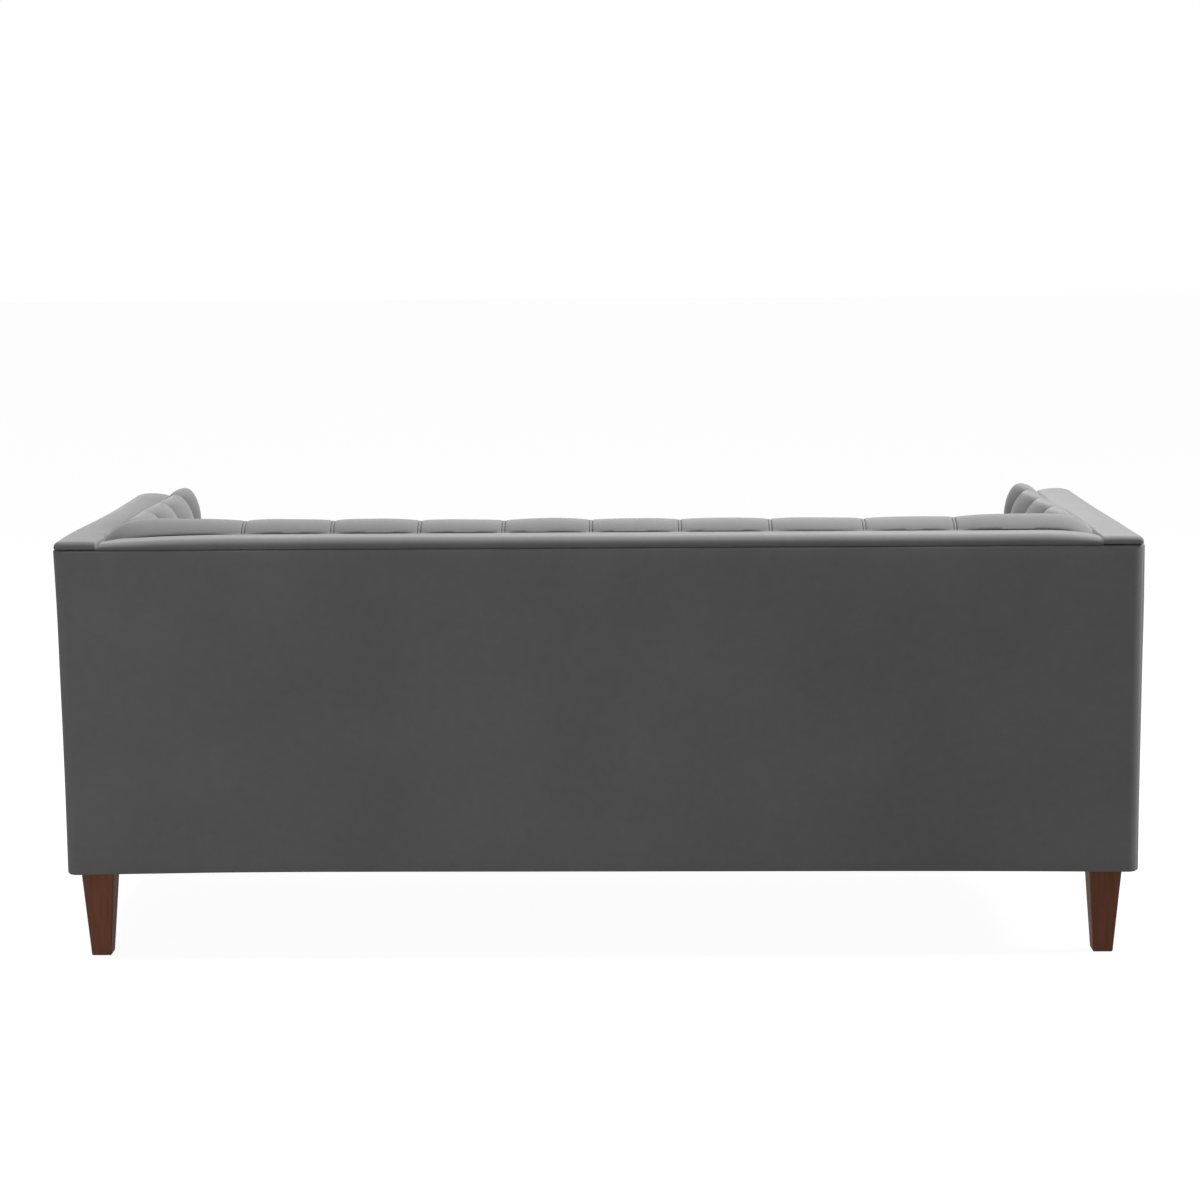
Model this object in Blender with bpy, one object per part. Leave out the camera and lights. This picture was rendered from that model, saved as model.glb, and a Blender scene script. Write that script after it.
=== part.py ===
"""A tufted sofa: timber frame, zigzag seat springs, upholstered panels and two loose seat cushions.

Metres, +Z up. The origin is on the floor under the middle of the sofa, X runs along its width
and the seat faces -Y. Left and right are as seen from in front, so left is -X.
"""

import math

import bmesh
import bpy

# Clearance between pieces that touch
GAP = 0.0003

# Overall sizes
WIDTH = 1.950
DEPTH = 0.785
FLOOR_CLEARANCE = 0.165
BODY_HEIGHT = 0.594

# Legs and their fixings
LEG_TOP = 0.060
LEG_FOOT = 0.036
LEG_EDGE = 0.002
GLIDE_HEIGHT = 0.0012
GLIDE_RADIUS = 0.011
BOLT_RADIUS = 0.004
BOLT_CLEARANCE = 0.0004
BOLT_GRIP = 0.030
BOLT_END = 0.004
NUT_WALL = 0.0012
NUT_FLANGE_RIM = 0.0054
NUT_FLANGE_THICKNESS = 0.0015
NUT_BARREL_LENGTH = 0.012
NUT_RIM_CLEARANCE = 0.0051
BLOCK_SIDE = 0.090
BLOCK_HEIGHT = 0.032

# Timber frame
RAIL_THICKNESS = 0.024
BASE_RAIL_HEIGHT = 0.110
TOP_RAIL_THICKNESS = 0.024
BACK_POST_WIDTH = 0.110
CENTRE_POST_WIDTH = 0.070
ARM_POST_DEPTH = 0.050
STRETCHER_HEIGHT = 0.070
STRETCHER_INSET = 0.678
BOARD_THICKNESS = 0.004

# Seat support
SPRING_COUNT = 6
SPRING_INSET = 0.252
SPRING_WIRE = 0.0038
SPRING_WIDTH = 0.060
SPRING_BARS = 20
DECK_THICKNESS = 0.026
DUST_COVER_THICKNESS = 0.0012

# Outside panels and flat top pads
PANEL_THICKNESS = 0.012
PANEL_EDGE = 0.008
ARM_STRIP_WIDTH = 0.073
BACK_BAND_DEPTH = 0.075
TOP_PAD_THICKNESS = 0.015
TOP_PAD_EDGE = 0.009
BACK_BAND_CROWN = 0.004
BACK_BAND_EDGE = 0.014

# Tufted inside pads
ARM_PAD_THICKNESS = 0.092
BACK_PAD_THICKNESS = 0.096
BACK_RAKE = 0.040
PAD_RISE = 0.024
PAD_SHOULDER = 0.034
PAD_BACK_SHOULDER = 0.020
TUFT_ROWS = 3
TUFT_DEPTH = 0.014
TUFT_TOP_DEPTH = 0.005
BACK_COLUMNS = 10
BACK_COLUMN_WIDTH = 0.162
ARM_COLUMNS = 4

# Loose seat cushions
CUSHION_THICKNESS = 0.150
CUSHION_CROWN = 0.014
CUSHION_CLEARANCE = 0.002
CUSHION_CORNER = 0.030
CUSHION_EDGE = 0.012
CUSHION_WAIST = 0.006

# Facets of the rounded shapes
ROUND_SIDES = 12
EDGE_SEGMENTS = 3
SMALL_EDGE_SEGMENTS = 2
TUFT_STEPS = 4
TOP_STEPS = 6
CUSHION_SIDE_STEPS = 6
CUSHION_CORNER_STEPS = 3
CROWN_SHARES = (0.88, 0.70, 0.45, 0.15)
SHARP_ANGLE = math.radians(40)

# Planes that the pieces share
HALF_WIDTH = WIDTH / 2
REAR = DEPTH / 2
FRONT = -DEPTH / 2
SEAM = FLOOR_CLEARANCE + BODY_HEIGHT
TOP = SEAM + TOP_PAD_THICKNESS
FRAME_SIDE = HALF_WIDTH - PANEL_THICKNESS - GAP
FRAME_REAR = REAR - PANEL_THICKNESS - GAP
FRAME_FRONT = FRONT + PANEL_THICKNESS + GAP
ARM_INNER = HALF_WIDTH - ARM_STRIP_WIDTH
BACK_INNER = REAR - BACK_BAND_DEPTH
SEAT_SIDE = ARM_INNER - ARM_PAD_THICKNESS
SEAT_REAR = BACK_INNER - BACK_PAD_THICKNESS - BACK_RAKE
ARM_PAD_OUTER = ARM_INNER - BOARD_THICKNESS - 2 * GAP
BACK_PAD_REAR = BACK_INNER - BOARD_THICKNESS - 2 * GAP
TIMBER_BOTTOM = FLOOR_CLEARANCE + DUST_COVER_THICKNESS + GAP
BASE_TOP = TIMBER_BOTTOM + BASE_RAIL_HEIGHT
RAIL_INNER_SIDE = FRAME_SIDE - RAIL_THICKNESS - GAP
RAIL_INNER_REAR = FRAME_REAR - RAIL_THICKNESS - GAP
RAIL_INNER_FRONT = FRAME_FRONT + RAIL_THICKNESS + GAP
TOP_RAIL_BOTTOM = SEAM - GAP - TOP_RAIL_THICKNESS
DECK_BOTTOM = BASE_TOP + SPRING_WIRE + 2 * GAP
DECK_TOP = DECK_BOTTOM + DECK_THICKNESS
PAD_BOTTOM = DECK_TOP + GAP
PAD_SHOULDER_HEIGHT = TOP - PAD_SHOULDER
PAD_BACK_HEIGHT = TOP - PAD_BACK_SHOULDER
PAD_CREST = TOP + PAD_RISE
ROW_HEIGHT = (PAD_CREST - PAD_BOTTOM) / TUFT_ROWS
BOLT_HOLE = BOLT_RADIUS + BOLT_CLEARANCE
NUT_BARREL = BOLT_HOLE + NUT_WALL
NUT_FLANGE = NUT_BARREL + NUT_FLANGE_RIM
LEG_FROM_RAIL = NUT_FLANGE + NUT_RIM_CLEARANCE
LEG_X = RAIL_INNER_SIDE - LEG_FROM_RAIL
LEG_REAR = RAIL_INNER_REAR - LEG_FROM_RAIL
LEG_FRONT = RAIL_INNER_FRONT + LEG_FROM_RAIL
BLOCK_TOP = TIMBER_BOTTOM + BLOCK_HEIGHT

SIDES = (("left", -1), ("right", 1))


def clear_scene():
    for obj in list(bpy.data.objects):
        bpy.data.objects.remove(obj, do_unlink=True)


def make_material(name, colour, roughness, metallic=0.0):
    material = bpy.data.materials.new(name)
    material.use_nodes = True
    shader = material.node_tree.nodes["Principled BSDF"]
    shader.inputs["Base Color"].default_value = (*colour, 1.0)
    shader.inputs["Roughness"].default_value = roughness
    shader.inputs["Metallic"].default_value = metallic
    return material


def make_materials():
    return {
        "velvet": make_material("grey_velvet", (0.105, 0.105, 0.108), 0.9),
        "leg_wood": make_material("dark_stained_wood", (0.062, 0.026, 0.016), 0.45),
        "timber": make_material("frame_timber", (0.55, 0.38, 0.21), 0.7),
        "plywood": make_material("plywood", (0.60, 0.44, 0.27), 0.7),
        "steel": make_material("zinc_steel", (0.50, 0.50, 0.48), 0.35, 1.0),
        "cambric": make_material("black_dust_cloth", (0.012, 0.012, 0.013), 0.95),
        "plastic": make_material("black_plastic", (0.020, 0.020, 0.021), 0.5),
    }


def place_object(name, data, material, location):
    obj = bpy.data.objects.new(name, data)
    data.materials.append(material)
    bpy.context.scene.collection.objects.link(obj)
    obj.parent = bpy.data.objects["sofa"]
    obj.location = location
    return obj


def finish_mesh(name, bm, material, location):
    """Turns a bmesh into a placed object with its faces outward."""
    bmesh.ops.recalc_face_normals(bm, faces=bm.faces)
    mesh = bpy.data.meshes.new(name)
    bm.to_mesh(mesh)
    bm.free()
    mesh.shade_smooth()
    mesh.set_sharp_from_angle(angle=SHARP_ANGLE)
    return place_object(name, mesh, material, location)


def side_of(face):
    """The side of a box that a face is on, such as +x."""
    axis = max(range(3), key=lambda i: abs(face.normal[i]))
    sign = "+" if face.normal[axis] > 0 else "-"
    return sign + "xyz"[axis]


def block(name, low, high, material, rounded=(), radius=0.0):
    """A box between two corners. rounded lists the edges to round, each as the set of its two sides."""
    size = [b - a for a, b in zip(low, high)]
    middle = [(a + b) / 2 for a, b in zip(low, high)]
    bm = bmesh.new()
    bmesh.ops.create_cube(bm, size=1.0)
    bmesh.ops.scale(bm, vec=size, verts=bm.verts)
    bm.normal_update()
    edges = [e for e in bm.edges if {side_of(f) for f in e.link_faces} in rounded]
    if edges:
        bmesh.ops.bevel(
            bm,
            geom=edges,
            offset=radius,
            segments=EDGE_SEGMENTS,
            profile=0.5,
            affect="EDGES",
            clamp_overlap=True,
        )
    return finish_mesh(name, bm, material, middle)


def loft(name, rings, material, hollow=False):
    """Skins a row of rings. A hollow loft joins its last ring to its first, any other is capped."""
    points = [point for ring in rings for point in ring]
    middle = [(min(p[i] for p in points) + max(p[i] for p in points)) / 2 for i in range(3)]
    bm = bmesh.new()
    rows = []
    for ring in rings:
        rows.append([bm.verts.new([c - m for c, m in zip(point, middle)]) for point in ring])
    count = len(rows[0])
    pairs = list(zip(rows, rows[1:]))
    if hollow:
        pairs.append((rows[-1], rows[0]))
    for first, second in pairs:
        for i in range(count):
            j = (i + 1) % count
            bm.faces.new((first[i], first[j], second[j], second[i]))
    if not hollow:
        bm.faces.new(rows[0])
        bm.faces.new(rows[-1])
    return finish_mesh(name, bm, material, middle)


def circle(x, y, z, radius):
    turns = [2 * math.pi * i / ROUND_SIDES for i in range(ROUND_SIDES)]
    return [(x + radius * math.cos(a), y + radius * math.sin(a), z) for a in turns]


def square(x, y, z, side):
    corners = ((-1, -1), (1, -1), (1, 1), (-1, 1))
    return [(x + sx * side / 2, y + sy * side / 2, z) for sx, sy in corners]


def drill(obj, x, y, low, high, radius):
    """Cuts a round hole in an object, between two heights."""
    cutter = loft(
        f"{obj.name}_drill_{len(obj.modifiers)}",
        [circle(x, y, low, radius), circle(x, y, high, radius)],
        obj.data.materials[0],
    )
    cutter.hide_render = True
    cutter.display_type = "WIRE"
    cut = obj.modifiers.new("hole", "BOOLEAN")
    cut.operation = "DIFFERENCE"
    cut.solver = "EXACT"
    cut.object = cutter


def span(sign, inner, outer):
    """The lower and higher X of a stretch between two distances from the middle, on one side."""
    return sorted((sign * inner, sign * outer))


def leg_places():
    """Each leg's name and axis."""
    for end, y in (("front", LEG_FRONT), ("rear", LEG_REAR)):
        for side, sign in SIDES:
            yield f"{end}_{side}", sign * LEG_X, y


def make_leg(place, x, y, materials):
    top = FLOOR_CLEARANCE - GAP
    foot = GLIDE_HEIGHT + GAP
    leg = loft(
        f"leg_{place}",
        [square(x, y, foot, LEG_FOOT), square(x, y, top, LEG_TOP)],
        materials["leg_wood"],
    )
    bevel = leg.modifiers.new("edges", "BEVEL")
    bevel.width = LEG_EDGE
    bevel.segments = SMALL_EDGE_SEGMENTS
    drill(leg, x, y, top - BOLT_GRIP - GAP, top + LEG_TOP, BOLT_HOLE)
    loft(
        f"leg_glide_{place}",
        [circle(x, y, 0.0, GLIDE_RADIUS), circle(x, y, GLIDE_HEIGHT, GLIDE_RADIUS)],
        materials["plastic"],
    )


def make_leg_fixing(place, x, y, materials):
    """The hanger bolt in the leg's top and the flanged tee nut that it screws into."""
    flange_bottom = BLOCK_TOP + GAP
    flange_top = flange_bottom + NUT_FLANGE_THICKNESS
    barrel_bottom = flange_bottom - NUT_BARREL_LENGTH
    bolt_bottom = FLOOR_CLEARANCE - GAP - BOLT_GRIP
    bolt_top = flange_top + BOLT_END
    loft(
        f"hanger_bolt_{place}",
        [circle(x, y, bolt_bottom, BOLT_RADIUS), circle(x, y, bolt_top, BOLT_RADIUS)],
        materials["steel"],
    )
    outline = (
        (BOLT_HOLE, flange_top),
        (NUT_FLANGE, flange_top),
        (NUT_FLANGE, flange_bottom),
        (NUT_BARREL, flange_bottom),
        (NUT_BARREL, barrel_bottom),
        (BOLT_HOLE, barrel_bottom),
    )
    rings = [circle(x, y, z, radius) for radius, z in outline]
    loft(f"tee_nut_{place}", rings, materials["steel"], hollow=True)


def make_corner_block(place, x, y, materials):
    left, right = span(math.copysign(1, x), RAIL_INNER_SIDE - BLOCK_SIDE, RAIL_INNER_SIDE)
    if y > 0:
        near, far = RAIL_INNER_REAR - BLOCK_SIDE, RAIL_INNER_REAR
    else:
        near, far = RAIL_INNER_FRONT, RAIL_INNER_FRONT + BLOCK_SIDE
    corner = block(
        f"corner_block_{place}",
        (left, near, TIMBER_BOTTOM),
        (right, far, BLOCK_TOP),
        materials["timber"],
    )
    drill(corner, x, y, TIMBER_BOTTOM - BLOCK_HEIGHT, BLOCK_TOP + BLOCK_HEIGHT, NUT_BARREL + GAP)


def make_base(materials):
    timber = materials["timber"]
    block(
        "base_front_rail",
        (-FRAME_SIDE, FRAME_FRONT, TIMBER_BOTTOM),
        (FRAME_SIDE, FRAME_FRONT + RAIL_THICKNESS, BASE_TOP),
        timber,
    )
    block(
        "base_back_rail",
        (-FRAME_SIDE, FRAME_REAR - RAIL_THICKNESS, TIMBER_BOTTOM),
        (FRAME_SIDE, FRAME_REAR, BASE_TOP),
        timber,
    )
    for side, sign in SIDES:
        low, high = span(sign, FRAME_SIDE - RAIL_THICKNESS, FRAME_SIDE)
        block(
            f"base_{side}_rail",
            (low, RAIL_INNER_FRONT, TIMBER_BOTTOM),
            (high, RAIL_INNER_REAR, BASE_TOP),
            timber,
        )
        middle = sign * (RAIL_INNER_SIDE - STRETCHER_INSET)
        block(
            f"seat_stretcher_{side}",
            (middle - RAIL_THICKNESS / 2, RAIL_INNER_FRONT, TIMBER_BOTTOM),
            (middle + RAIL_THICKNESS / 2, RAIL_INNER_REAR, TIMBER_BOTTOM + STRETCHER_HEIGHT),
            timber,
        )


def make_upper_frame(materials):
    timber = materials["timber"]
    post_bottom = BASE_TOP + GAP
    post_top = TOP_RAIL_BOTTOM - GAP
    for side, sign in SIDES:
        low, high = span(sign, FRAME_SIDE - BACK_POST_WIDTH, FRAME_SIDE)
        block(
            f"back_post_{side}",
            (low, BACK_INNER, post_bottom),
            (high, FRAME_REAR, post_top),
            timber,
        )
        low, high = span(sign, ARM_INNER, FRAME_SIDE)
        block(
            f"arm_front_post_{side}",
            (low, FRAME_FRONT, post_bottom),
            (high, FRAME_FRONT + ARM_POST_DEPTH, post_top),
            timber,
        )
        block(
            f"arm_top_rail_{side}",
            (low, FRAME_FRONT, TOP_RAIL_BOTTOM),
            (high, FRAME_REAR, SEAM - GAP),
            timber,
        )
    block(
        "back_post_centre",
        (-CENTRE_POST_WIDTH / 2, BACK_INNER, post_bottom),
        (CENTRE_POST_WIDTH / 2, FRAME_REAR, post_top),
        timber,
    )
    block(
        "back_top_rail",
        (-ARM_INNER + GAP, BACK_INNER, TOP_RAIL_BOTTOM),
        (ARM_INNER - GAP, FRAME_REAR, SEAM - GAP),
        timber,
    )


def make_boards(materials):
    """The thin boards on the inside of the frame that the tufted pads are built on."""
    plywood = materials["plywood"]
    for side, sign in SIDES:
        low, high = span(sign, ARM_INNER - GAP - BOARD_THICKNESS, ARM_INNER - GAP)
        block(
            f"inside_arm_board_{side}",
            (low, FRAME_FRONT, DECK_BOTTOM),
            (high, BACK_PAD_REAR, SEAM - GAP),
            plywood,
        )
    block(
        "inside_back_board",
        (-ARM_INNER + GAP, BACK_INNER - GAP - BOARD_THICKNESS, DECK_BOTTOM),
        (ARM_INNER - GAP, BACK_INNER - GAP, SEAM - GAP),
        plywood,
    )


def zigzag(start, end):
    """Points of a zigzag wire between two Y places, as (sideways, along), with round turns."""
    pitch = (end - start) / (SPRING_BARS - 1)
    reach = SPRING_WIDTH / 2 - pitch / 2
    turns = (math.radians(-90), math.radians(-30), math.radians(30), math.radians(90))
    points = [(-reach, start)]
    for bar in range(SPRING_BARS - 1):
        way = 1 if bar % 2 == 0 else -1
        middle = start + (bar + 0.5) * pitch
        for turn in turns:
            sideways = way * (reach + pitch / 2 * math.cos(turn))
            points.append((sideways, middle + pitch / 2 * math.sin(turn)))
    way = 1 if SPRING_BARS % 2 else -1
    points.append((way * reach, end))
    return points


def least_wire_gap(points):
    """The least distance between wire surfaces, over points at least a whole turn apart."""
    apart = 3
    gaps = [
        math.dist(points[i], points[j])
        for i in range(len(points))
        for j in range(i + apart, len(points))
    ]
    return min(gaps) - SPRING_WIRE


def make_springs(materials):
    height = BASE_TOP + GAP + SPRING_WIRE / 2
    route = zigzag(FRAME_FRONT + RAIL_THICKNESS / 2, FRAME_REAR - RAIL_THICKNESS / 2)
    print(f"least gap between a spring's bars: {1000 * least_wire_gap(route):.1f} mm")
    outermost = ARM_INNER - SPRING_INSET
    for number in range(SPRING_COUNT):
        x = outermost * (2 * number / (SPRING_COUNT - 1) - 1)
        name = f"seat_spring_{number + 1}"
        curve = bpy.data.curves.new(name, "CURVE")
        curve.dimensions = "3D"
        curve.bevel_depth = SPRING_WIRE / 2
        curve.bevel_resolution = 0
        curve.use_fill_caps = True
        wire = curve.splines.new("POLY")
        wire.points.add(len(route) - 1)
        for point, (sideways, along) in zip(wire.points, route):
            point.co = (sideways, along, 0.0, 1.0)
        place_object(name, curve, materials["steel"], (x, 0.0, height))


def make_deck_and_dust_cover(materials):
    block(
        "seat_deck",
        (-ARM_PAD_OUTER, FRAME_FRONT, DECK_BOTTOM),
        (ARM_PAD_OUTER, BACK_PAD_REAR, DECK_TOP),
        materials["cambric"],
    )
    cover = block(
        "dust_cover",
        (-FRAME_SIDE, FRAME_FRONT, FLOOR_CLEARANCE),
        (FRAME_SIDE, FRAME_REAR, FLOOR_CLEARANCE + DUST_COVER_THICKNESS),
        materials["cambric"],
    )
    for _, x, y in leg_places():
        low = FLOOR_CLEARANCE - DUST_COVER_THICKNESS
        high = FLOOR_CLEARANCE + 2 * DUST_COVER_THICKNESS
        drill(cover, x, y, low, high, BOLT_HOLE)


def make_outside_panels(materials):
    velvet = materials["velvet"]
    block(
        "outside_back_panel",
        (-HALF_WIDTH, REAR - PANEL_THICKNESS, FLOOR_CLEARANCE),
        (HALF_WIDTH, REAR, SEAM - GAP),
        velvet,
        ({"+y", "+x"}, {"+y", "-x"}, {"+y", "+z"}, {"+y", "-z"}),
        PANEL_EDGE,
    )
    for side, sign in SIDES:
        outer = "+x" if sign > 0 else "-x"
        low, high = span(sign, HALF_WIDTH - PANEL_THICKNESS, HALF_WIDTH)
        block(
            f"outside_arm_panel_{side}",
            (low, FRAME_FRONT, FLOOR_CLEARANCE),
            (high, REAR - PANEL_THICKNESS - GAP, SEAM - GAP),
            velvet,
            ({outer, "+z"}, {outer, "-z"}),
            PANEL_EDGE,
        )
    block(
        "front_rail_panel",
        (-SEAT_SIDE + GAP, FRONT, FLOOR_CLEARANCE),
        (SEAT_SIDE - GAP, FRONT + PANEL_THICKNESS, DECK_TOP),
        velvet,
        ({"-y", "+z"}, {"-y", "-z"}),
        PANEL_EDGE,
    )


def pad_top(across):
    """A pad's round top at a share of its half thickness, from 1 at its face to -1 at its back.

    The face falls away as a parabola and the back as an ellipse. Returns the height, the inward
    direction with its first part still to be divided by the half thickness, and the share of the rise.
    """
    if across > 0:
        rise = PAD_CREST - PAD_SHOULDER_HEIGHT
        up = 1 - across**2
        return PAD_SHOULDER_HEIGHT + rise * up, (-2 * rise * across, -1.0), up
    rise = PAD_CREST - PAD_BACK_HEIGHT
    up = math.sqrt(1 - across**2)
    return PAD_BACK_HEIGHT + rise * up, (-rise * across, -up), up


def arm_front_outline():
    """The arm's end view, as (distance from the middle, height), from the inner foot round to the outer one."""
    radius = (ARM_PAD_OUTER - SEAT_SIDE) / 2
    last = math.pi - math.asin(PAD_BACK_SHOULDER / (PAD_CREST - PAD_BACK_HEIGHT))
    outline = [(SEAT_SIDE, FLOOR_CLEARANCE)]
    for step in range(TOP_STEPS + 1):
        across = math.cos(last * step / TOP_STEPS)
        outline.append((SEAT_SIDE + radius * (1 - across), pad_top(across)[0]))
    for step in range(EDGE_SEGMENTS + 1):
        turn = math.radians(90) * (1 - step / EDGE_SEGMENTS)
        across = HALF_WIDTH - TOP_PAD_EDGE * (1 - math.cos(turn))
        outline.append((across, TOP - TOP_PAD_EDGE * (1 - math.sin(turn))))
    outline.append((HALF_WIDTH, FLOOR_CLEARANCE))
    return outline


def make_arm_fronts(materials):
    for side, sign in SIDES:
        rings = []
        for y in (FRONT, FRONT + PANEL_THICKNESS):
            rings.append([(sign * across, y, height) for across, height in arm_front_outline()])
        panel = loft(f"arm_front_panel_{side}", rings, materials["velvet"])
        bm = bmesh.new()
        bm.from_mesh(panel.data)
        face = min(bm.faces, key=lambda f: f.calc_center_median().y)
        bmesh.ops.bevel(
            bm,
            geom=list(face.edges),
            offset=PANEL_EDGE / 2,
            segments=SMALL_EDGE_SEGMENTS,
            profile=0.5,
            affect="EDGES",
            clamp_overlap=True,
        )
        bm.to_mesh(panel.data)
        bm.free()


def make_top_pads(materials):
    velvet = materials["velvet"]
    for side, sign in SIDES:
        low, high = span(sign, ARM_INNER, HALF_WIDTH)
        block(
            f"arm_top_pad_{side}",
            (low, FRAME_FRONT, SEAM),
            (high, REAR, TOP),
            velvet,
            ({"+x", "+z"}, {"-x", "+z"}, {"+y", "+z"}),
            TOP_PAD_EDGE,
        )
    block(
        "back_top_band",
        (-ARM_INNER + GAP, BACK_INNER, SEAM),
        (ARM_INNER - GAP, REAR, TOP + BACK_BAND_CROWN),
        velvet,
        ({"+y", "+z"}, {"-y", "+z"}, {"+x", "+z"}, {"-x", "+z"}),
        BACK_BAND_EDGE,
    )


def puff(share):
    """How full a tuft is at a share of the way across it: 0 at its seams, 1 in its middle."""
    return 1 - (2 * share - 1) ** 2


def row_fullness(height):
    """How full the tufts are at a height, between the pleats that run across the pad."""
    row = min(int((height - PAD_BOTTOM) / ROW_HEIGHT + 1e-9), TUFT_ROWS - 1)
    share = (height - PAD_BOTTOM) / ROW_HEIGHT - row
    if row == TUFT_ROWS - 1:
        return puff(min(share, 1.0) / 2)
    return puff(share)


def pad_section(thickness, rake):
    """A tufted pad in section, from the foot of its face over the top to the foot of its back.

    Each entry is (distance from the back, height, inward direction, seam depth, fullness).
    """
    face = []
    for row in range(TUFT_ROWS):
        foot = PAD_BOTTOM + row * ROW_HEIGHT
        head = min(foot + ROW_HEIGHT, PAD_SHOULDER_HEIGHT)
        face += [foot + (head - foot) * step / TUFT_STEPS for step in range(TUFT_STEPS)]
    section = []
    for height in face:
        lean = rake * (PAD_SHOULDER_HEIGHT - height) / (PAD_SHOULDER_HEIGHT - PAD_BOTTOM)
        section.append((thickness + lean, height, (-1.0, 0.0), TUFT_DEPTH, row_fullness(height)))
    radius = thickness / 2
    for step in range(TOP_STEPS + 1):
        across = math.cos(math.pi * step / TOP_STEPS)
        height, towards, up = pad_top(across)
        length = math.hypot(towards[0] / radius, towards[1])
        inward = (towards[0] / radius / length, towards[1] / length)
        face_depth = TUFT_DEPTH if across > 0 else 0.0
        depth = face_depth + (TUFT_TOP_DEPTH - face_depth) * up
        section.append((radius * (1 + across), height, inward, depth, row_fullness(height)))
    section.append((0.0, PAD_BOTTOM, (0.0, 0.0), 0.0, 0.0))
    return section


def tufted_rings(section, columns, place):
    """Rings along a pad. columns lists its seams, and place turns (along, out, height) into a point."""
    stations = [(columns[0], 0.0)]
    for start, end in zip(columns, columns[1:]):
        for step in range(1, TUFT_STEPS + 1):
            share = step / TUFT_STEPS
            stations.append((start + (end - start) * share, puff(share)))
    rings = []
    for along, fullness in stations:
        ring = []
        for out, height, inward, depth, row in section:
            drawn = depth * (1 - fullness * row)
            ring.append(place(along, out + inward[0] * drawn, height + inward[1] * drawn))
        rings.append(ring)
    return rings


def make_inside_back(materials):
    section = pad_section(BACK_PAD_REAR - BACK_INNER + BACK_PAD_THICKNESS, BACK_RAKE)
    inner = range(1, BACK_COLUMNS)
    seams = [(number - BACK_COLUMNS / 2) * BACK_COLUMN_WIDTH for number in inner]
    columns = [-ARM_PAD_OUTER, *seams, ARM_PAD_OUTER]
    rings = tufted_rings(section, columns, lambda along, out, z: (along, BACK_PAD_REAR - out, z))
    loft("inside_back_pad", rings, materials["velvet"])


def arm_pad_end(height):
    """Where an arm pad ends at a height, against the raked face of the inside back."""
    climb = (height - PAD_BOTTOM) / (PAD_SHOULDER_HEIGHT - PAD_BOTTOM)
    return SEAT_REAR - GAP + BACK_RAKE * min(climb, 1.0)


def make_inside_arms(materials):
    section = pad_section(ARM_PAD_OUTER - SEAT_SIDE, 0.0)
    columns = [number / ARM_COLUMNS for number in range(ARM_COLUMNS + 1)]
    for side, sign in SIDES:

        def place(along, out, z, sign=sign):
            y = FRAME_FRONT + along * (arm_pad_end(z) - FRAME_FRONT)
            return (sign * (ARM_PAD_OUTER - out), y, z)

        loft(f"inside_arm_pad_{side}", tufted_rings(section, columns, place), materials["velvet"])


def cushion_outline(width, depth):
    """A cushion seen from above: round corners, with sides that draw in between them."""
    corner_x, corner_y = width / 2 - CUSHION_CORNER, depth / 2 - CUSHION_CORNER
    outline = []
    for quarter in range(4):
        start = math.radians(90) * quarter
        sx = 1 if quarter in (0, 3) else -1
        sy = 1 if quarter in (0, 1) else -1
        for step in range(CUSHION_CORNER_STEPS + 1):
            turn = start + math.radians(90) * step / CUSHION_CORNER_STEPS
            x = sx * corner_x + CUSHION_CORNER * math.cos(turn)
            outline.append((x, sy * corner_y + CUSHION_CORNER * math.sin(turn)))
        for step in range(1, CUSHION_SIDE_STEPS):
            run = 1 - 2 * step / CUSHION_SIDE_STEPS
            drawn = CUSHION_WAIST * puff(step / CUSHION_SIDE_STEPS)
            if quarter == 0:
                outline.append((corner_x * run, depth / 2 - drawn))
            elif quarter == 1:
                outline.append((drawn - width / 2, corner_y * run))
            elif quarter == 2:
                outline.append((-corner_x * run, drawn - depth / 2))
            else:
                outline.append((width / 2 - drawn, -corner_y * run))
    return outline


def cushion_rings(middle, width, depth):
    """Rings of a boxed cushion, from its flat underside up to its crown, as (inset, height)."""
    edge = CUSHION_EDGE
    wall = (
        (edge, 0.0),
        (edge / 4, edge / 4),
        (0.0, edge),
        (edge / 3, CUSHION_THICKNESS / 2),
        (0.0, CUSHION_THICKNESS - edge),
        (edge / 4, CUSHION_THICKNESS - edge / 4),
        (edge, CUSHION_THICKNESS),
    )
    base = PAD_BOTTOM
    outline = cushion_outline(width, depth)
    rings = []
    for inset, height in wall:
        scale_x, scale_y = 1 - 2 * inset / width, 1 - 2 * inset / depth
        rings.append(
            [(middle[0] + x * scale_x, middle[1] + y * scale_y, base + height) for x, y in outline]
        )
    last = rings[-1]
    for share in CROWN_SHARES:
        rise = CUSHION_CROWN * (1 - share**2)
        ring = []
        for x, y, z in last:
            across = middle[0] + (x - middle[0]) * share
            ring.append((across, middle[1] + (y - middle[1]) * share, z + rise))
        rings.append(ring)
    return rings


def make_seat_cushions(materials):
    width = SEAT_SIDE - 1.5 * CUSHION_CLEARANCE
    near, far = FRONT + CUSHION_CLEARANCE, SEAT_REAR - CUSHION_CLEARANCE
    for side, sign in SIDES:
        middle = (sign * (width + CUSHION_CLEARANCE) / 2, (near + far) / 2)
        rings = cushion_rings(middle, width, far - near)
        loft(f"seat_cushion_{side}", rings, materials["velvet"])


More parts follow.
